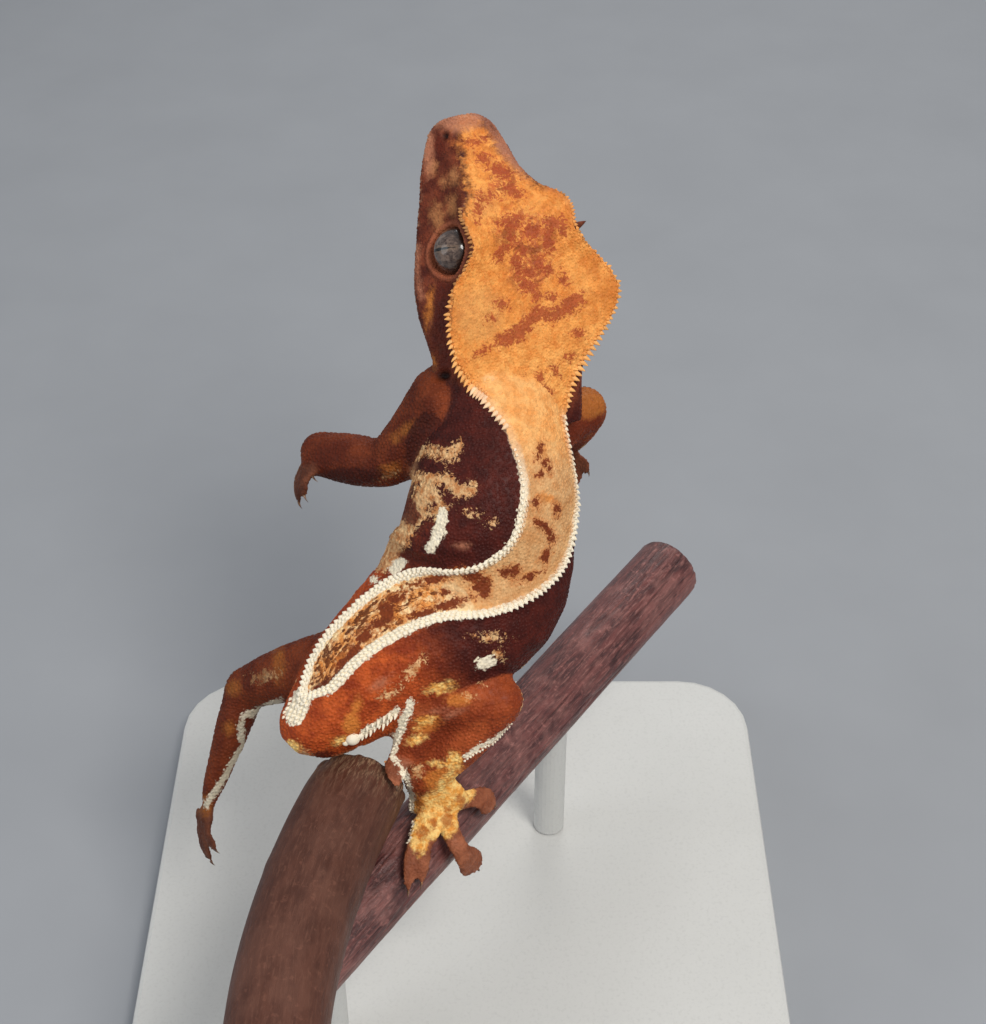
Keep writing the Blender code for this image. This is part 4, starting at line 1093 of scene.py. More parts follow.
# Both edges of the band along the back, down to where they meet.
fine_s, fine_rows, fine_axes = trunk_line(0.05)
for sign in (1, -1):
    for row_in, gap, long0, wide0, pale in ((0.0, 0.84, 0.70, 0.80, 1.0), (0.55, 0.74, 0.50, 0.74, 1.0), (1.08, 0.72, 0.42, 0.66, 0.6)):
        run, last, flip = 0.0, None, 0
        for i in range(len(fine_s) - 1, -1, -1):
            s, row, (left, up, f) = fine_s[i], fine_rows[i], fine_axes[i]
            if s < 3.4 or s > LINE_S[-1] - ((9.6 if row_in == 0 else 17.0) if sign > 0 else 3.4):
                continue
            low = float(ease(40.0, 30.0, np.array([s]))[0])
            w = row[7] - row_in
            if w < 0.15:
                if row_in or s > 9:
                    continue
                w = 0.95 * max(0.3, float(ease(2.0, 7.0, np.array([s]))[0]))
            th = math.asin(min(1.0, (w / row[4]) ** (1 / 0.93)))
            z = row[5] * math.cos(th) ** 0.93 + RIDGE
            at = Vector(row[:3]) + left * (sign * w) + up * z
            if last is not None:
                run += (at - last).length
            last = at
            if run < gap:
                continue
            run = 0.0
            flip = 1 - flip
            out = (left * sign * (0.85 if row_in == 0 else 0.5) + up * (0.30 if row_in == 0 else 0.60) - f * 0.42).normalized()
            fade = 1.0 if row_in == 0 else 0.35 + 0.65 * low
            slim = 1 - 0.34 * float(ease(44.0, 52.0, np.array([s]))[0]) * (sign > 0)
            tooth(at, out, long0 * slim * (1 - 0.22 * low) * float(RNG.uniform(0.86, 1.16)), wide0 * slim * (1 + 0.08 * low), pale * fade * slim)
# The stem of the Y, the pale fringes of the right leg, the pale scales by the vent and the knob beside them.


def fringe(points, gap, way, long, wide, pale, jitter=0.12):
    p = np.array(points, float)
    run = np.concatenate([[0], np.cumsum(np.linalg.norm(np.diff(p, axis=0), axis=1))])
    for d in np.arange(0, run[-1], gap):
        across, down = np.interp(d, run, p[:, 0]), np.interp(d, run, p[:, 1])
        at, normal = skin_hit(tree, across + float(RNG.uniform(-0.6, 0.6)), down + float(RNG.uniform(-0.6, 0.6)))
        tooth(at, (way + normal * 0.25).normalized(), long * float(RNG.uniform(1 - jitter, 1 + jitter)), wide, pale)


for rows_down in (-8, -4, 0, 4, 8):
    fringe([(299 + rows_down, 702 + 0.4 * rows_down), (291 + rows_down, 721 + 0.4 * rows_down)], 4.8, turned(-0.35, -0.7, 0.5), 0.48, 0.72, 1.0)
fringe([(485, 401), (491, 407), (497, 414), (502, 420), (507, 427)], 5.4, turned(-0.75, -0.65, 0.1), 1.0, 0.76, 0.45)
fringe([(464, 760), (480, 750), (496, 741), (508, 733), (518, 725)], 3.6, turned(0.35, -0.85, 0.3), 0.32, 0.50, 0.9)
fringe([(409, 716), (403, 728), (397, 742), (391, 757)], 4.4, turned(-0.85, -0.45, 0.2), 0.42, 0.5, 0.7)
fringe([(402, 770), (408, 786), (411, 804), (409, 826), (406, 845)], 3.2, turned(-0.9, -0.35, 0.2), 0.28, 0.44, 0.6)
fringe([(363, 737), (371, 730), (380, 726), (390, 719), (398, 712)], 5.0, turned(-0.25, -0.9, 0.3), 0.85, 0.62, 1.0, 0.35)
fringe([(367, 727), (378, 721), (390, 713)], 6.5, turned(-0.2, -0.9, 0.3), 0.85, 0.55, 0.9, 0.35)
bare, _ = skin_hit(tree, 508, 401)
teeth = [t for t in teeth if (t[0] - bare).length > 1.05]
template, faces = spike()
t_at, t_way, t_up = (np.array([list(t[k]) for t in teeth]) for k in range(3))
t_long, t_wide, t_pale = (np.array([t[k] for t in teeth]) for k in (3, 4, 5))
root_kd = KDTree(len(co))
for i, p in enumerate(co):
    root_kd.insert(p, i)
root_kd.balance()
nearest = np.array([root_kd.find(p)[1] for p in t_at])
t_values = {k: np.asarray(v, float)[nearest] for k, v in VALUES.items()}
t_values["tooth"] = t_pale
t_uv = unwrapped(t_at, blend_w[nearest])
crest_teeth = tufts("scales_crest", template, faces, t_at, t_way, t_up, np.column_stack([t_long, t_wide, t_wide]), t_values, t_uv)
print("teeth", len(teeth))

# The white knob by the vent: a domed scale of its own.
knobs = []
for across, down, r in ((353, 739, 1.15), (346, 743, 0.55), (360, 736, 0.6)):
    at, normal = skin_hit(tree, across, down)
    knobs.append((at, normal, r))


def dome(rings=6, n=14):
    pts, faces = [(0, 0, 1.0)], []
    for j in range(1, rings + 1):
        a = (0.5 * math.pi + 0.35) * j / rings
        pts += [(math.sin(a) * math.cos(2 * math.pi * i / n), math.sin(a) * math.sin(2 * math.pi * i / n), math.cos(a)) for i in range(n)]
    for i in range(n):
        faces.append((0, 1 + i, 1 + (i + 1) % n))
    for j in range(rings - 1):
        for i in range(n):
            k = (i + 1) % n
            faces.append((1 + j * n + i, 1 + (j + 1) * n + i, 1 + (j + 1) * n + k, 1 + j * n + k))
    return pts, faces


k_at = np.array([list(k[0] - k[1] * (0.25 * k[2])) for k in knobs])
k_up = np.array([list((k[1] + turned(-0.1, -0.5, 0.2)).normalized()) for k in knobs])
k_dir = np.cross(k_up, np.array([list(RIGHT)] * len(knobs)))
k_dir /= np.linalg.norm(k_dir, axis=1, keepdims=True)
nearest = np.array([root_kd.find(p)[1] for p in k_at])
k_values = {k: np.asarray(v, float)[nearest] for k, v in VALUES.items()}
k_values["tooth"] = np.ones(len(knobs))
k_values["m_white"] = np.full(len(knobs), 2.0)
dome_points, dome_faces = dome()
knob_piece = tufts("scales_knob", dome_points, dome_faces, k_at, k_dir, k_up, np.array([k[2] for k in knobs]), k_values, unwrapped(k_at, blend_w[nearest]))

# ---------------------------------------------------------------- eyes
print("eyes and claws")


def eyeball(name, centre, look):
    """A ball with a slightly bulging cornea; its own axes have z out of the eye and y across the jaw."""
    pts, faces, n, rings = [(0, 0, 1.035)], [], 64, 40
    for j in range(1, rings):
        a = math.pi * j / rings
        bulge = 1 + 0.035 * math.exp(-((a / 0.62) ** 4))
        pts += [(bulge * math.sin(a) * math.cos(2 * math.pi * i / n), bulge * math.sin(a) * math.sin(2 * math.pi * i / n), bulge * math.cos(a)) for i in range(n)]
    pts.append((0, 0, -1))
    for i in range(n):
        k = (i + 1) % n
        faces.append((0, 1 + i, 1 + k))
        for j in range(rings - 2):
            faces.append((1 + j * n + i, 1 + (j + 1) * n + i, 1 + (j + 1) * n + k, 1 + j * n + k))
        faces.append((1 + (rings - 2) * n + i, len(pts) - 1, 1 + (rings - 2) * n + k))
    z = Vector(look)
    y = (HEAD_UP - z * HEAD_UP.dot(z)).normalized()
    x = y.cross(z)
    mesh = bpy.data.meshes.new(name)
    mesh.from_pydata([Vector(p) * (EYE["r"] * 0.985 * MM) for p in pts], [], faces)
    mesh.polygons.foreach_set("use_smooth", np.ones(len(mesh.polygons), bool))
    obj = bpy.data.objects.new(name, mesh)
    obj.matrix_world = Matrix.Translation(Vector(centre) * MM) @ Matrix((x, y, z)).transposed().to_4x4()
    bpy.context.scene.collection.objects.link(obj)
    return obj


eye_pieces = {side: eyeball("eyeball_" + side, centre, look) for side, (centre, look) in eyes.items()}

# ---------------------------------------------------------------- claws


def claw_rings(tip, way, up, long, r):
    rings = []
    for u in np.linspace(0, 1, 8):
        c = tip + way * (long * u) - up * (long * 0.42 * u * u)
        f = (way - up * (0.84 * u)).normalized()
        side = up.cross(f).normalized()
        nrm = f.cross(side)
        k = r * (1 - 0.93 * u)
        rings.append([c + side * (math.cos(t) * k * 0.8) + nrm * (math.sin(t) * k) for t in np.linspace(0, 2 * math.pi, 9, endpoint=False)])
    return rings


claw_points, claw_faces = [], []
for g in LIMBS.values():
    for base, knuckle, tip, _, _ in g["digits"]:
        way = (Vector(tip) - Vector(knuckle)).normalized()
        up = (g["up"] - way * g["up"].dot(way)).normalized()
        p, f = lofted(claw_rings(Vector(tip) - way * 0.45 + up * 0.12, way, up, 0.95 * g["scale"] + 0.1, 0.24))
        claw_faces += [tuple(i + len(claw_points) for i in face) for face in f]
        claw_points += p
claws = array_mesh("claws", np.array([list(p) for p in claw_points]), np.concatenate([np.array(f) for f in claw_faces]), np.array([len(f) for f in claw_faces]))

# ---------------------------------------------------------------- branches


def branch_piece(name, branch, around, step, relief, worn):
    """A branch with long ridges, splits and knots in its bark, and cut or worn ends; the relief only goes inward."""
    a = branch["dir"]
    side = a.orthogonal().normalized()
    top = a.cross(side)
    lo, hi = branch["from"], branch["to"]
    spots = [lo, lo + 0.12, lo + 0.35, lo + 0.7] + list(np.linspace(lo + 1.1, hi - 1.1, int((hi - lo) / step))) + [hi - 0.7, hi - 0.35, hi - 0.12, hi]
    s = np.array(spots)
    t = np.linspace(0, 2 * math.pi, around, endpoint=False)
    S, T = (v.ravel() for v in np.meshgrid(s, t, indexing="ij"))
    ring = np.column_stack([np.cos(T) * 2.2, np.sin(T) * 2.2, S * 0.055])
    depth = relief(ring, S, T)
    rim = np.minimum(S - lo, hi - S)
    edge = 0.45 * (1 - np.sqrt(np.clip(rim / 0.7, 0, 1)))
    rough_end = worn * np.exp(-((np.abs(S - lo) / 2.2) ** 2)) * (0.5 + 0.5 * lump(np.column_stack([np.cos(T) * 6, np.sin(T) * 6, S * 0.5]), 41))
    girth = branch["r"] * 0.985 - depth - edge - rough_end
    axis = np.array([list(branch_axis(branch, v)) for v in s])
    centre = np.repeat(axis, around, axis=0)
    points = centre + np.outer(np.cos(T) * girth, np.array(side)) + np.outer(np.sin(T) * girth, np.array(top))
    n, m = around, len(s)
    faces, idx = [], np.arange(n)
    quads = np.concatenate([np.column_stack([j * n + idx, j * n + (idx + 1) % n, (j + 1) * n + (idx + 1) % n, (j + 1) * n + idx]) for j in range(m - 1)])
    loops, sizes = [quads.ravel()], [np.full(len(quads), 4)]
    extra = []
    for j, turn, at in ((0, True, lo), (m - 1, False, hi)):
        inner, shells = j * n + idx, (0.8, 0.55, 0.3, 0.1)
        for k, share in enumerate(shells):
            ring_pts = axis[j] + (points[j * n + idx] - axis[j]) * share
            rough = 0.12 * lump(ring_pts / 0.8, 60 + j) + 0.10 * np.sin(share * 40) - (0.25 if turn else 0.05) * (1 - share)
            ring_pts = ring_pts + np.outer(rough * (-1 if turn else 1), np.array(a)) * (0.6 + worn)
            start = len(points) + sum(len(e) for e in extra)
            extra.append(ring_pts)
            outer = start + idx
            q = np.column_stack([inner, outer, outer[(idx + 1) % n], inner[(idx + 1) % n]])
            q = q if turn else q[:, ::-1]
            loops.append(q.ravel())
            sizes.append(np.full(len(q), 4))
            inner = outer
        cap = inner[::-1] if turn else inner
        loops.append(cap if not turn else inner[::-1])
        sizes.append(np.array([n]))
    points = np.vstack([points, *extra])
    run = np.concatenate([S, *[np.full(len(e), lo if i < 4 else hi) for i, e in enumerate(extra)]])
    turnv = np.concatenate([T, *[t for _ in extra]])
    end_mask = np.concatenate([np.zeros(len(S)), *[np.ones(len(e)) for e in extra]])
    obj = array_mesh(name, points, np.concatenate(loops), np.concatenate(sizes), {
        "run": run, "round_x": np.cos(turnv), "round_y": np.sin(turnv), "cut": end_mask,
        "groove": np.concatenate([depth, *[np.zeros(len(e)) for e in extra]]), "frayed": np.exp(-(((run - lo) / 4.0) ** 2)) * worn,
    })
    bm = bmesh.new()
    bm.from_mesh(obj.data)
    bmesh.ops.recalc_face_normals(bm, faces=bm.faces)
    bm.to_mesh(obj.data)
    bm.free()
    return obj


def thin_relief(ring, S, T):
    fine = ring * np.array([3.2, 3.2, 1.6])
    ridges = 1 - np.abs(lumps(fine, 71, 3))
    coarse = lumps(ring * np.array([1.1, 1.1, 1.3]), 75, 2)
    split = np.exp(-((lump(ring * np.array([1.6, 1.6, 0.7]), 81) / 0.06) ** 2))
    return 0.10 + 0.22 * np.clip(1 - ridges, 0, 1) + 0.10 * (0.5 - 0.5 * coarse) + 0.16 * split


def thick_relief(ring, S, T):
    coarse = lumps(ring * np.array([0.8, 0.8, 1.8]), 91, 3)
    fine = lumps(ring * np.array([5.0, 5.0, 6.0]), 95, 2)
    nodes_at = np.exp(-(((S - 22.0 + 1.2 * np.cos(T)) / 1.1) ** 2)) * 0.18
    return 0.10 + 0.16 * (0.5 - 0.5 * coarse) + 0.035 * (0.5 + 0.5 * fine) - nodes_at * 0.5


bark_thin = branch_piece("bark_thin", THIN, 220, 0.42, thin_relief, 0.25)
bark_thick = branch_piece("bark_thick", THICK, 220, 0.40, thick_relief, 0.9)

# ---------------------------------------------------------------- materials
print("materials")


class Tree:
    """A material's nodes, made in a few words each."""

    def __init__(self, name):
        self.material = bpy.data.materials.new(name)
        self.material.use_nodes = True
        self.nodes, self.links = self.material.node_tree.nodes, self.material.node_tree.links
        self.shader = self.nodes["Principled BSDF"]
        self.coords = self.nodes.new("ShaderNodeTexCoord").outputs["Object"]

    def link(self, value, socket):
        if isinstance(value, bpy.types.NodeSocket):
            self.links.new(value, socket)
        else:
            socket.default_value = value

    def value(self, name):
        node = self.nodes.new("ShaderNodeAttribute")
        node.attribute_name = name
        return node.outputs["Fac"]

    def math(self, how, a, b=0.0, c=0.0, clamp=False):
        node = self.nodes.new("ShaderNodeMath")
        node.operation, node.use_clamp = how, clamp
        for value, socket in zip((a, b, c), node.inputs):
            self.link(value, socket)
        return node.outputs[0]

    def noise(self, scale, detail=3.0, rough=0.55, warp=0.0, stretch=None, shift=(0, 0, 0)):
        node = self.nodes.new("ShaderNodeTexNoise")
        where = self.nodes.new("ShaderNodeMapping")
        where.inputs["Scale"].default_value = stretch or (1, 1, 1)
        where.inputs["Location"].default_value = shift
        self.link(self.coords, where.inputs["Vector"])
        self.link(where.outputs[0], node.inputs["Vector"])
        node.inputs["Scale"].default_value = scale
        node.inputs["Detail"].default_value = detail
        node.inputs["Roughness"].default_value = rough
        node.inputs["Distortion"].default_value = warp
        return node.outputs["Fac"]

    def cells(self, scale, feature="F1", randomness=0.85):
        node = self.nodes.new("ShaderNodeTexVoronoi")
        node.feature = feature
        self.link(self.coords, node.inputs["Vector"])
        node.inputs["Scale"].default_value = scale
        node.inputs["Randomness"].default_value = randomness
        return node

    def ramp(self, x, low, high, to_low=0.0, to_high=1.0, smooth=True):
        node = self.nodes.new("ShaderNodeMapRange")
        node.interpolation_type = "SMOOTHSTEP" if smooth else "LINEAR"
        self.link(x, node.inputs["Value"])
        for socket, value in zip(("From Min", "From Max", "To Min", "To Max"), (low, high, to_low, to_high)):
            self.link(value, node.inputs[socket])
        return node.outputs["Result"]

    def mix(self, share, a, b, how="MIX"):
        node = self.nodes.new("ShaderNodeMix")
        node.data_type, node.blend_type = "RGBA", how
        self.link(share, node.inputs[0])
        self.link(a, node.inputs[6])
        self.link(b, node.inputs[7])
        return node.outputs[2]

    def bump(self, height, distance, strength=1.0, normal=None):
        node = self.nodes.new("ShaderNodeBump")
        node.inputs["Distance"].default_value = distance
        node.inputs["Strength"].default_value = strength
        self.link(height, node.inputs["Height"])
        if normal is not None:
            self.link(normal, node.inputs["Normal"])
        return node.outputs["Normal"]


def skin_material(name, coat):
    """The gecko's markings: the same tree for the skin and for its scales."""
    t = Tree(name)
    broad = t.noise(170, 3.0, 0.55)
    medium = t.noise(420, 4.0, 0.6, 0.4)
    small = t.noise(950, 4.0, 0.62, 0.5)
    worms = t.noise(560, 5.0, 0.66, 1.4, shift=(0.2, 0.4, 0.1))
    mesh = t.noise(1050, 4.0, 0.7, 1.8, shift=(0.8, 0.3, 0.4))
    clots = t.noise(330, 5.0, 0.66, 1.0, shift=(0.6, 0.2, 0.9))
    grain = t.noise(2300, 2.0, 0.5)
    rag = t.math("SUBTRACT", t.noise(620, 4.0, 0.66, 1.2, shift=(0.3, 0.1, 0.7)), 0.5)
    rag_fine = t.math("SUBTRACT", t.noise(1500, 2.0, 0.6, 0.0, shift=(0.1, 0.5, 0.2)), 0.5)

    def field(kind, amount=1.2, fine=0.5):
        return t.math("MULTIPLY_ADD", rag_fine, fine, t.math("MULTIPLY_ADD", rag, amount, t.value(kind)))

    def marking(kind, amount=1.2, soft=0.16, fine=0.5, lift=0.0):
        return t.ramp(field(kind, amount, fine), -soft - lift, soft - lift)

    # Flanks: rusty behind, maroon in front, with fine pale grain.
    rust = t.mix(t.ramp(medium, 0.30, 0.72), linear(142, 52, 18), linear(194, 88, 36))
    maroon = t.mix(t.ramp(medium, 0.3, 0.75), linear(58, 14, 8), linear(84, 26, 15))
    colour = t.mix(t.value("deep"), rust, maroon)
    limb = t.mix(t.ramp(broad, 0.36, 0.66), linear(128, 50, 20), linear(170, 80, 38))
    colour = t.mix(t.value("limb"), colour, limb)
    under = t.mix(t.ramp(medium, 0.3, 0.7), linear(206, 154, 112), linear(166, 108, 74))
    colour = t.mix(t.value("belly"), colour, under)
    face = t.mix(t.ramp(medium, 0.34, 0.7), linear(78, 26, 14), linear(124, 58, 34))
    colour = t.mix(t.value("face"), colour, t.mix(t.value("belly"), face, under))
    toes = t.mix(t.ramp(medium, 0.3, 0.7), linear(124, 66, 42), linear(164, 98, 68))
    colour = t.mix(t.value("foot"), colour, toes)
    # Within the band: cream and orange on the lower back, peach in the middle, orange towards the head.
    place = t.value("along")
    low_back = t.mix(t.ramp(clots, 0.38, 0.60), linear(232, 158, 84), linear(250, 222, 170))
    mid_back = t.mix(t.ramp(medium, 0.3, 0.72), linear(200, 142, 88), linear(226, 180, 126))
    nape = t.mix(t.ramp(medium, 0.3, 0.7), linear(232, 156, 84), linear(246, 186, 116))
    crown = t.mix(t.ramp(medium, 0.32, 0.70), linear(216, 130, 56), linear(240, 164, 84))
    top = t.mix(t.ramp(place, 30.0, 37.0), low_back, mid_back)
    top = t.mix(t.ramp(place, 52.0, 60.0), top, nape)
    crown = t.mix(t.value("hind_head"), crown, t.mix(t.ramp(medium, 0.32, 0.70), linear(232, 152, 74), linear(250, 180, 100)))
    top = t.mix(t.value("head"), top, crown)
    frayed = t.math("MULTIPLY_ADD", t.value("snout"), 3.4, t.math("MULTIPLY", t.value("head"), 1.6))
    in_band = t.ramp(t.math("MULTIPLY_ADD", rag_fine, t.math("MULTIPLY_ADD", t.value("snout"), 1.4, 0.5), t.math("MULTIPLY_ADD", rag, frayed, t.value("band"))), t.math("MULTIPLY_ADD", t.value("snout"), 0.1, 0.42), t.math("MULTIPLY_ADD", t.value("snout"), -2.0, 0.12))
    colour = t.mix(in_band, colour, top)
    # Clots of brown within the band on the lower back, drawn out along it.
    axes = t.nodes.new("ShaderNodeCombineXYZ")
    t.link(t.math("MULTIPLY", place, 0.44), axes.inputs[0])
    t.link(t.math("MULTIPLY", t.value("across"), 0.74), axes.inputs[1])
    coords, t.coords = t.coords, axes.outputs[0]
    drawn = t.noise(1.0, 5.0, 0.70, 1.6)
    t.coords = coords
    level = t.math("ADD", drawn, t.ramp(place, 10.0, 34.0, 0.035, -0.02))
    lower = t.math("MULTIPLY", t.ramp(place, 35.0, 30.0), in_band)
    lower = t.math("MULTIPLY", lower, t.ramp(t.math("MULTIPLY_ADD", rag, 1.0, t.value("band")), -1.3, -1.8))
    colour = t.mix(t.math("MULTIPLY", t.math("MULTIPLY", t.ramp(level, 0.45, 0.53), lower), 0.7), colour, linear(196, 112, 46))
    colour = t.mix(t.math("MULTIPLY", t.math("MULTIPLY", t.ramp(level, 0.53, 0.56), lower), 0.9), colour, t.mix(small, linear(64, 25, 8), linear(112, 50, 16)))
    # Over the crown: soft orange mottling, and between the eyes a reddish net with darker clots.
    on_crown = t.math("MULTIPLY", t.value("head"), in_band)
    colour = t.mix(t.math("MULTIPLY", t.math("MULTIPLY", t.ramp(worms, 0.52, 0.60), on_crown), 0.42), colour, linear(206, 112, 42))
    dense = t.math("MULTIPLY", t.ramp(t.value("m_net"), -1.2, 2.6), on_crown)
    red = t.math("MULTIPLY", t.ramp(t.math("MULTIPLY_ADD", dense, 0.13, t.math("MULTIPLY_ADD", mesh, 0.62, t.math("MULTIPLY", worms, 0.38))), 0.575, 0.625), dense)
    colour = t.mix(t.math("MULTIPLY", red, 0.78), colour, t.mix(small, linear(166, 70, 36), linear(196, 104, 60)))
    dark = t.math("MULTIPLY", t.ramp(t.math("MULTIPLY_ADD", dense, 0.11, clots), 0.60, 0.66), dense)
    colour = t.mix(t.math("MULTIPLY", dark, 0.75), colour, linear(122, 48, 24))
    # Named patches.
    colour = t.mix(t.math("MULTIPLY", marking("m_grey", 1.5, 1.2), 0.5), colour, t.mix(medium, linear(206, 146, 84), linear(222, 164, 96)))
    colour = t.mix(t.math("MULTIPLY", marking("m_soft", 2.0, 0.7), 0.75), colour, t.mix(medium, linear(166, 100, 56), linear(210, 150, 96)))
    colour = t.mix(t.math("MULTIPLY", marking("m_pink", 1.4, 0.7), 0.8), colour, t.mix(medium, linear(164, 98, 70), linear(200, 136, 104)))
    colour = t.mix(t.math("MULTIPLY", marking("m_orange", 1.9, 0.6), 0.85), colour, t.mix(medium, linear(186, 94, 34), linear(230, 150, 66)))
    tan_at = t.ramp(t.math("MULTIPLY_ADD", t.math("SUBTRACT", mesh, 0.5), 4.0, field("m_tan", 2.6, 0.8)), -0.30, 0.30)
    colour = t.mix(t.math("MULTIPLY", tan_at, 0.88), colour, t.mix(t.ramp(small, 0.35, 0.65), linear(194, 128, 74), linear(240, 198, 144)))
    colour = t.mix(marking("m_yellow", 1.7, 0.4), colour, t.mix(t.ramp(small, 0.34, 0.66), linear(232, 156, 66), linear(252, 214, 134)))
    pale_here = t.math("MAXIMUM", on_crown, t.math("MULTIPLY", in_band, 0.15))
    clot = t.mix(pale_here, t.mix(small, linear(82, 30, 10), linear(134, 64, 24)), t.mix(small, linear(140, 50, 26), linear(180, 84, 46)))
    ragged = t.math("MULTIPLY_ADD", t.math("SUBTRACT", mesh, 0.5), t.ramp(on_crown, 0.0, 1.0, 1.6, 4.2), field("m_brown", 2.2, 0.6))
    colour = t.mix(t.math("MULTIPLY", t.ramp(ragged, -0.75, -0.05), 0.5), colour, linear(196, 112, 52))
    colour = t.mix(t.math("MULTIPLY", t.ramp(ragged, -0.22, 0.10), t.ramp(on_crown, 0.0, 1.0, 1.0, 0.8)), colour, clot)
    colour = t.mix(t.math("MULTIPLY", marking("m_maroon", 1.8, 0.25, 0.6), t.ramp(on_crown, 0.0, 1.0, 0.92, 0.62)), colour, t.mix(small, linear(66, 18, 8), linear(112, 42, 22)))
    colour = t.mix(t.math("MULTIPLY", t.ramp(field("m_speck", 2.0, 0.6), -0.5, 0.2), 0.75), colour, t.mix(small, linear(146, 66, 16), linear(192, 106, 36)))
    # Painted shade: the left limbs, and less so the right foreleg, are greyed and darkened.
    colour = t.mix(t.math("MULTIPLY", t.value("dim"), 0.5), colour, t.mix(1.0, colour, linear(150, 128, 120), "MULTIPLY"))
    colour = t.mix(marking("m_white", 1.7, 0.16, 0.9), colour, t.mix(small, linear(228, 210, 176), linear(250, 242, 222)))
    # The two pale lines at the band's edges, which meet in a stem.
    line = t.math("MULTIPLY", t.ramp(t.math("MULTIPLY_ADD", rag_fine, 0.45, t.value("band")), 0.46, 0.30), t.ramp(t.math("MULTIPLY_ADD", rag_fine, 0.9, t.value("band")), t.ramp(place, 30.0, 40.0, -1.5, -1.5), t.ramp(place, 30.0, 40.0, -1.2, -0.4)))
    strength = t.math("MULTIPLY", t.ramp(place, 60.0, 46.0, 0.12, 1.0), t.math("SUBTRACT", 1.0, t.math("MULTIPLY", t.value("head"), 0.95)))
    pale = t.mix(small, linear(236, 220, 190), linear(252, 244, 224))
    colour = t.mix(t.math("MULTIPLY", line, strength), colour, pale)
    # Lips, lids, pits, and the creases.
    lips = t.math("MULTIPLY", t.value("lip"), t.ramp(small, 0.50, 0.62))
    colour = t.mix(t.math("MULTIPLY", lips, 0.6), colour, linear(206, 160, 128))
    colour = t.mix(t.math("MULTIPLY", t.value("lid"), 0.6), colour, t.mix(small, linear(136, 68, 44), linear(214, 128, 90)))
    # Painted shade: the nostrils and ear openings are filled near black.
    colour = t.mix(t.math("MULTIPLY", t.value("pit"), 0.9), colour, linear(24, 10, 9))
    # The shaded left limbs and the right foreleg are darker as painted shade, and each scale differs a little from the
    # next; tooth scales are pale.
    dim = t.ramp(t.value("dim"), 0.0, 1.0, 1.0, 0.66)
    tint = t.cells(1900).outputs["Color"]
    shade = t.nodes.new("ShaderNodeSeparateColor")
    t.link(tint, shade.inputs[0])
    jitter = t.math("MULTIPLY", t.ramp(shade.outputs[0], 0.0, 1.0, 0.88, 1.10, smooth=False), dim)
    both = t.nodes.new("ShaderNodeCombineColor")
    for socket in both.inputs:
        t.link(jitter, socket)
    colour = t.mix(1.0, colour, both.outputs[0], "MULTIPLY")
    if coat:
        pearl = t.mix(t.value("head"), t.mix(small, linear(242, 226, 196), linear(254, 246, 228)), t.mix(small, linear(246, 186, 112), linear(255, 222, 168)))
        colour = t.mix(t.ramp(t.value("tooth"), 0.0, 1.0, 0.0, 0.92), colour, pearl)
        glow = t.math("MULTIPLY", t.ramp(t.value("tooth"), 0.05, 0.2), t.value("head"))
        colour = t.mix(t.math("MULTIPLY", glow, 0.75), colour, t.mix(small, linear(238, 160, 82), linear(252, 196, 122)))
    t.link(colour, t.shader.inputs["Base Color"])
    t.link(t.ramp(small, 0.3, 0.7, 0.50, 0.66), t.shader.inputs["Roughness"])
    t.shader.inputs["Specular IOR Level"].default_value = 0.20
    if coat:
        t.link(t.bump(grain, 0.00004, 0.5), t.shader.inputs["Normal"])
    else:
        skin_cells = t.cells(2100).outputs["Distance"]
        height = t.math("ADD", t.ramp(skin_cells, 0.0, 0.6, 1.0, 0.0), t.math("MULTIPLY", grain, 0.4))
        t.link(t.bump(height, 0.00010, 0.8), t.shader.inputs["Normal"])
    return t.material


skin_paint = skin_material("gecko_skin", False)
coat_paint = skin_material("gecko_scales", True)

# The eye: a grey marbled iris, a thin upright slit with a scalloped edge, and a wet cornea.
t = Tree("gecko_eye")
axes = t.nodes.new("ShaderNodeSeparateXYZ")
t.link(t.coords, axes.inputs[0])
ex, ey, ez = (t.math("MULTIPLY", axes.outputs[k], 1000.0) for k in range(3))
wave = t.math("MULTIPLY", t.math("SINE", t.math("MULTIPLY", ey, 5.2)), 0.035)
slit_half = t.math("ADD", t.ramp(t.math("ABSOLUTE", ey), 0.2, 2.7, 0.21, 0.03), wave)
slit = t.ramp(t.math("SUBTRACT", t.math("ABSOLUTE", ex), slit_half), 0.06, -0.02)
slit = t.math("MULTIPLY", slit, t.ramp(t.math("ABSOLUTE", ey), 2.75, 2.45))
slit = t.math("MULTIPLY", slit, t.ramp(ez, 0.3, 0.9))
radius = t.math("SQRT", t.math("ADD", t.math("MULTIPLY", ex, ex), t.math("MULTIPLY", ey, ey)))
veins = t.noise(900, 5.0, 0.65, 1.6, stretch=(1.0, 0.45, 1.0))
marble = t.mix(t.ramp(veins, 0.36, 0.66), linear(66, 52, 46), linear(124, 104, 92))
marble = t.mix(t.ramp(t.noise(2600, 3.0, 0.6), 0.55, 0.68), marble, linear(52, 36, 32))
halo = t.ramp(t.math("SUBTRACT", t.math("ABSOLUTE", ex), slit_half), 0.5, 0.05)
marble = t.mix(t.math("MULTIPLY", halo, 0.45), marble, linear(126, 104, 84))
# Painted shade: the iris darkens to near black towards its rim, under the overhanging lid.
colour = t.mix(t.ramp(radius, 2.55, 3.25), marble, linear(38, 24, 20))
colour = t.mix(slit, colour, linear(10, 7, 7))
t.link(colour, t.shader.inputs["Base Color"])
t.shader.inputs["Roughness"].default_value = 0.22
t.shader.inputs["IOR"].default_value = 1.38
t.shader.inputs["Coat Weight"].default_value = 0.7
t.shader.inputs["Coat Roughness"].default_value = 0.05
t.link(t.bump(veins, 0.00005, 0.4), t.shader.inputs["Normal"])
eye_paint = t.material

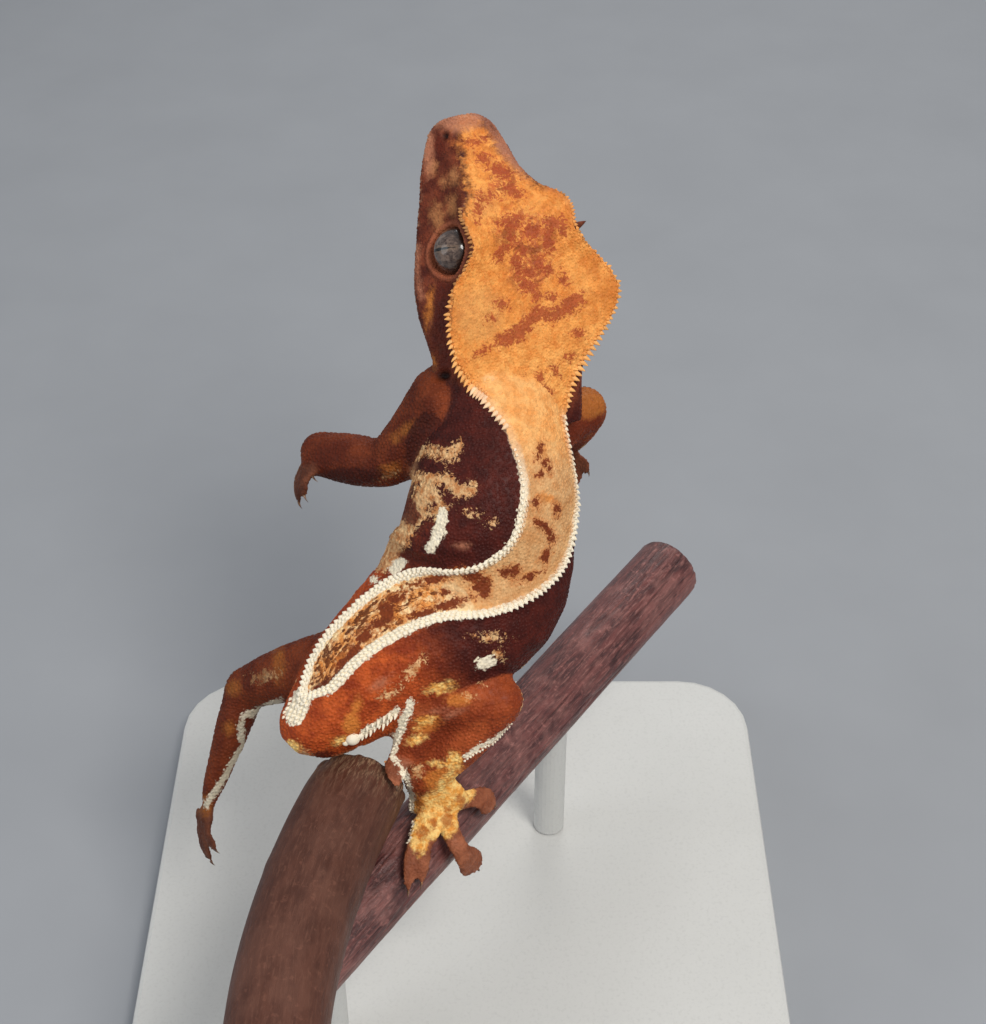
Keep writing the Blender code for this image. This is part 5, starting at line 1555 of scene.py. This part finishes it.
t = Tree("gecko_claw")
t.link(t.mix(t.ramp(t.noise(1600, 3.0), 0.35, 0.7), linear(58, 38, 28), linear(134, 98, 70)), t.shader.inputs["Base Color"])
t.link(t.bump(t.noise(3000, 2.0), 0.00002, 0.5), t.shader.inputs["Normal"])
t.shader.inputs["Roughness"].default_value = 0.32
claw_paint = t.material


def bark_material(name, dark, middle, pale, cut_colour, rough, gloss, glossy, depth):
    """Bark: colour follows the ridges, with painted shade darkening the grooves, and the end shows wood with rings."""
    t = Tree(name)
    ring = t.nodes.new("ShaderNodeCombineXYZ")
    t.link(t.value("round_x"), ring.inputs[0])
    t.link(t.value("round_y"), ring.inputs[1])
    t.link(t.math("MULTIPLY", t.value("run"), 0.03), ring.inputs[2])
    object_coords = t.coords
    t.coords = ring.outputs[0]
    strands = t.noise(5.5, 5.0, 0.6, 0.3)
    fine = t.noise(17.0, 4.0, 0.62)
    hair = t.noise(48.0, 2.0, 0.5)
    t.coords = object_coords
    blot = t.noise(130, 4.0, 0.6)
    dust = t.noise(900, 4.0, 0.65)
    colour = t.mix(t.ramp(strands, 0.34, 0.68), dark, middle)
    colour = t.mix(t.math("MULTIPLY", t.ramp(fine, 0.50, 0.70), 0.65), colour, pale)
    colour = t.mix(t.math("MULTIPLY", t.ramp(blot, 0.46, 0.66), 0.45), colour, pale)
    # Painted shade: the deeper the groove, the darker the bark.
    colour = t.mix(t.ramp(t.value("groove"), 0.24, 0.46, 0.0, 0.6), colour, tuple(c * 0.4 for c in dark[:3]) + (1,))
    colour = t.mix(t.math("MULTIPLY", t.ramp(dust, 0.56, 0.70), 0.25), colour, tuple(min(1, c * 1.9) for c in pale[:3]) + (1,))
    wood = t.mix(t.ramp(hair, 0.36, 0.62), tuple(c * 0.22 for c in cut_colour[:3]) + (1,), cut_colour)
    wood = t.mix(t.math("MULTIPLY", t.ramp(dust, 0.45, 0.7), 0.5), wood, tuple(c * 0.3 for c in cut_colour[:3]) + (1,))
    colour = t.mix(t.value("cut"), colour, wood)
    worn = t.math("MULTIPLY", t.value("frayed"), t.ramp(fine, 0.42, 0.6))
    colour = t.mix(worn, colour, wood)
    t.link(colour, t.shader.inputs["Base Color"])
    t.link(t.ramp(fine, 0.3, 0.7, rough - 0.10, rough + 0.14), t.shader.inputs["Roughness"])
    t.shader.inputs["Specular IOR Level"].default_value = gloss
    t.shader.inputs["Coat Weight"].default_value = glossy
    t.shader.inputs["Coat Roughness"].default_value = 0.30
    height = t.math("ADD", t.math("MULTIPLY", fine, 0.7), t.math("MULTIPLY", hair, 0.45))
    height = t.math("ADD", height, t.math("MULTIPLY", dust, 0.25))
    t.link(t.bump(height, 0.00030, depth), t.shader.inputs["Normal"])
    return t.material


thin_paint = bark_material("bark_thin", linear(64, 28, 28), linear(112, 60, 56), linear(158, 106, 98), linear(176, 138, 108), 0.40, 0.45, 0.22, 0.8)
thick_paint = bark_material("bark_thick", linear(74, 41, 30), linear(92, 55, 42), linear(106, 69, 55), linear(160, 126, 98), 0.52, 0.28, 0.04, 0.4)


def stand_material():
    t = Tree("stand_paint")
    powder = t.noise(1800, 3.0, 0.6)
    patchy = t.noise(40, 3.0, 0.5)
    colour = t.mix(patchy, linear(196, 196, 193), linear(208, 208, 205))
    t.link(t.mix(t.math("MULTIPLY", t.ramp(powder, 0.5, 0.7), 0.3), colour, linear(184, 184, 181)), t.shader.inputs["Base Color"])
    t.link(t.ramp(powder, 0.3, 0.7, 0.44, 0.60), t.shader.inputs["Roughness"])
    t.link(t.bump(powder, 0.00006, 0.5), t.shader.inputs["Normal"])
    return t.material


stand_paint = stand_material()

skin.data.materials.clear()
skin.data.materials.append(skin_paint)
for piece in [*scale_pieces, crest_teeth, knob_piece]:
    piece.data.materials.append(coat_paint)
for piece in eye_pieces.values():
    piece.data.materials.append(eye_paint)
claws.data.materials.append(claw_paint)
bark_thin.data.materials.append(thin_paint)
bark_thick.data.materials.append(thick_paint)

# The skin was worked in millimetres.
skin.data.transform(Matrix.Scale(MM, 4))
skin.data.polygons.foreach_set("use_smooth", np.ones(len(skin.data.polygons), bool))
skin.data.update()

# ---------------------------------------------------------------- the frame, the stage and the camera
print("scene")
for name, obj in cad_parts.items():
    if name.startswith("stand"):
        obj.data.materials.clear()
        obj.data.materials.append(stand_paint)

FLESH = [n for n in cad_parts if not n.startswith(("stand", "perch", "eye"))]
for piece in [skin, *scale_pieces, crest_teeth, knob_piece, claws]:
    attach(piece, "root")
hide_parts(*FLESH)
for side, piece in eye_pieces.items():
    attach(piece, "root")
    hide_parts("eye_" + side)
for piece, node, slot in ((bark_thin, "perch_thin", "branch_thin"), (bark_thick, "perch_thick", "branch_thick")):
    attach(piece, "root")
    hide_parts(node)

floor_mesh = bpy.data.meshes.new("floor")
floor_mesh.from_pydata([(-1.5, -1.5, 0), (1.5, -1.5, 0), (1.5, 1.5, 0), (-1.5, 1.5, 0)], [], [(0, 1, 2, 3)])
floor = bpy.data.objects.new("floor", floor_mesh)
bpy.context.scene.collection.objects.link(floor)
t = Tree("floor_paper")
t.link(t.mix(t.noise(30, 3.0), linear(146, 149, 154), linear(156, 159, 164)), t.shader.inputs["Base Color"])
t.shader.inputs["Roughness"].default_value = 0.85
floor_mesh.materials.append(t.material)

world = bpy.data.worlds.new("studio")
bpy.context.scene.world = world
world.use_nodes = True
world.node_tree.nodes["Background"].inputs["Color"].default_value = (0.93, 0.96, 1.0, 1)
world.node_tree.nodes["Background"].inputs["Strength"].default_value = 0.42


def lamp(name, place, size, power, colour):
    data = bpy.data.lights.new(name, "AREA")
    data.shape, data.size, data.energy, data.color = "DISK", size, power, colour
    obj = bpy.data.objects.new(name, data)
    obj.location = place
    obj.rotation_euler = (Vector((0.005, 0.0, 0.075)) - Vector(place)).to_track_quat("-Z", "Y").to_euler()
    bpy.context.scene.collection.objects.link(obj)


lamp("key", (0.20, -0.26, 0.52), 0.22, 2.2, (1.0, 0.965, 0.91))
lamp("fill", (-0.50, -0.15, 0.30), 0.45, 0.7, (0.90, 0.95, 1.0))
lamp("back", (0.10, 0.45, 0.42), 0.35, 0.8, (1.0, 0.98, 0.95))

camera_data = bpy.data.cameras.new("camera")
camera_data.lens = 18.0 / (512 * STEP / REACH)
camera_data.sensor_width = 36.0
camera_data.clip_start = 0.01
camera = bpy.data.objects.new("camera", camera_data)
camera.location = (AIM + NEAR * REACH) * MM
camera.rotation_euler = (math.pi / 2 - TILT, 0, 0)
bpy.context.scene.collection.objects.link(camera)
bpy.context.scene.camera = camera
bpy.context.scene.view_settings.view_transform = "Standard"
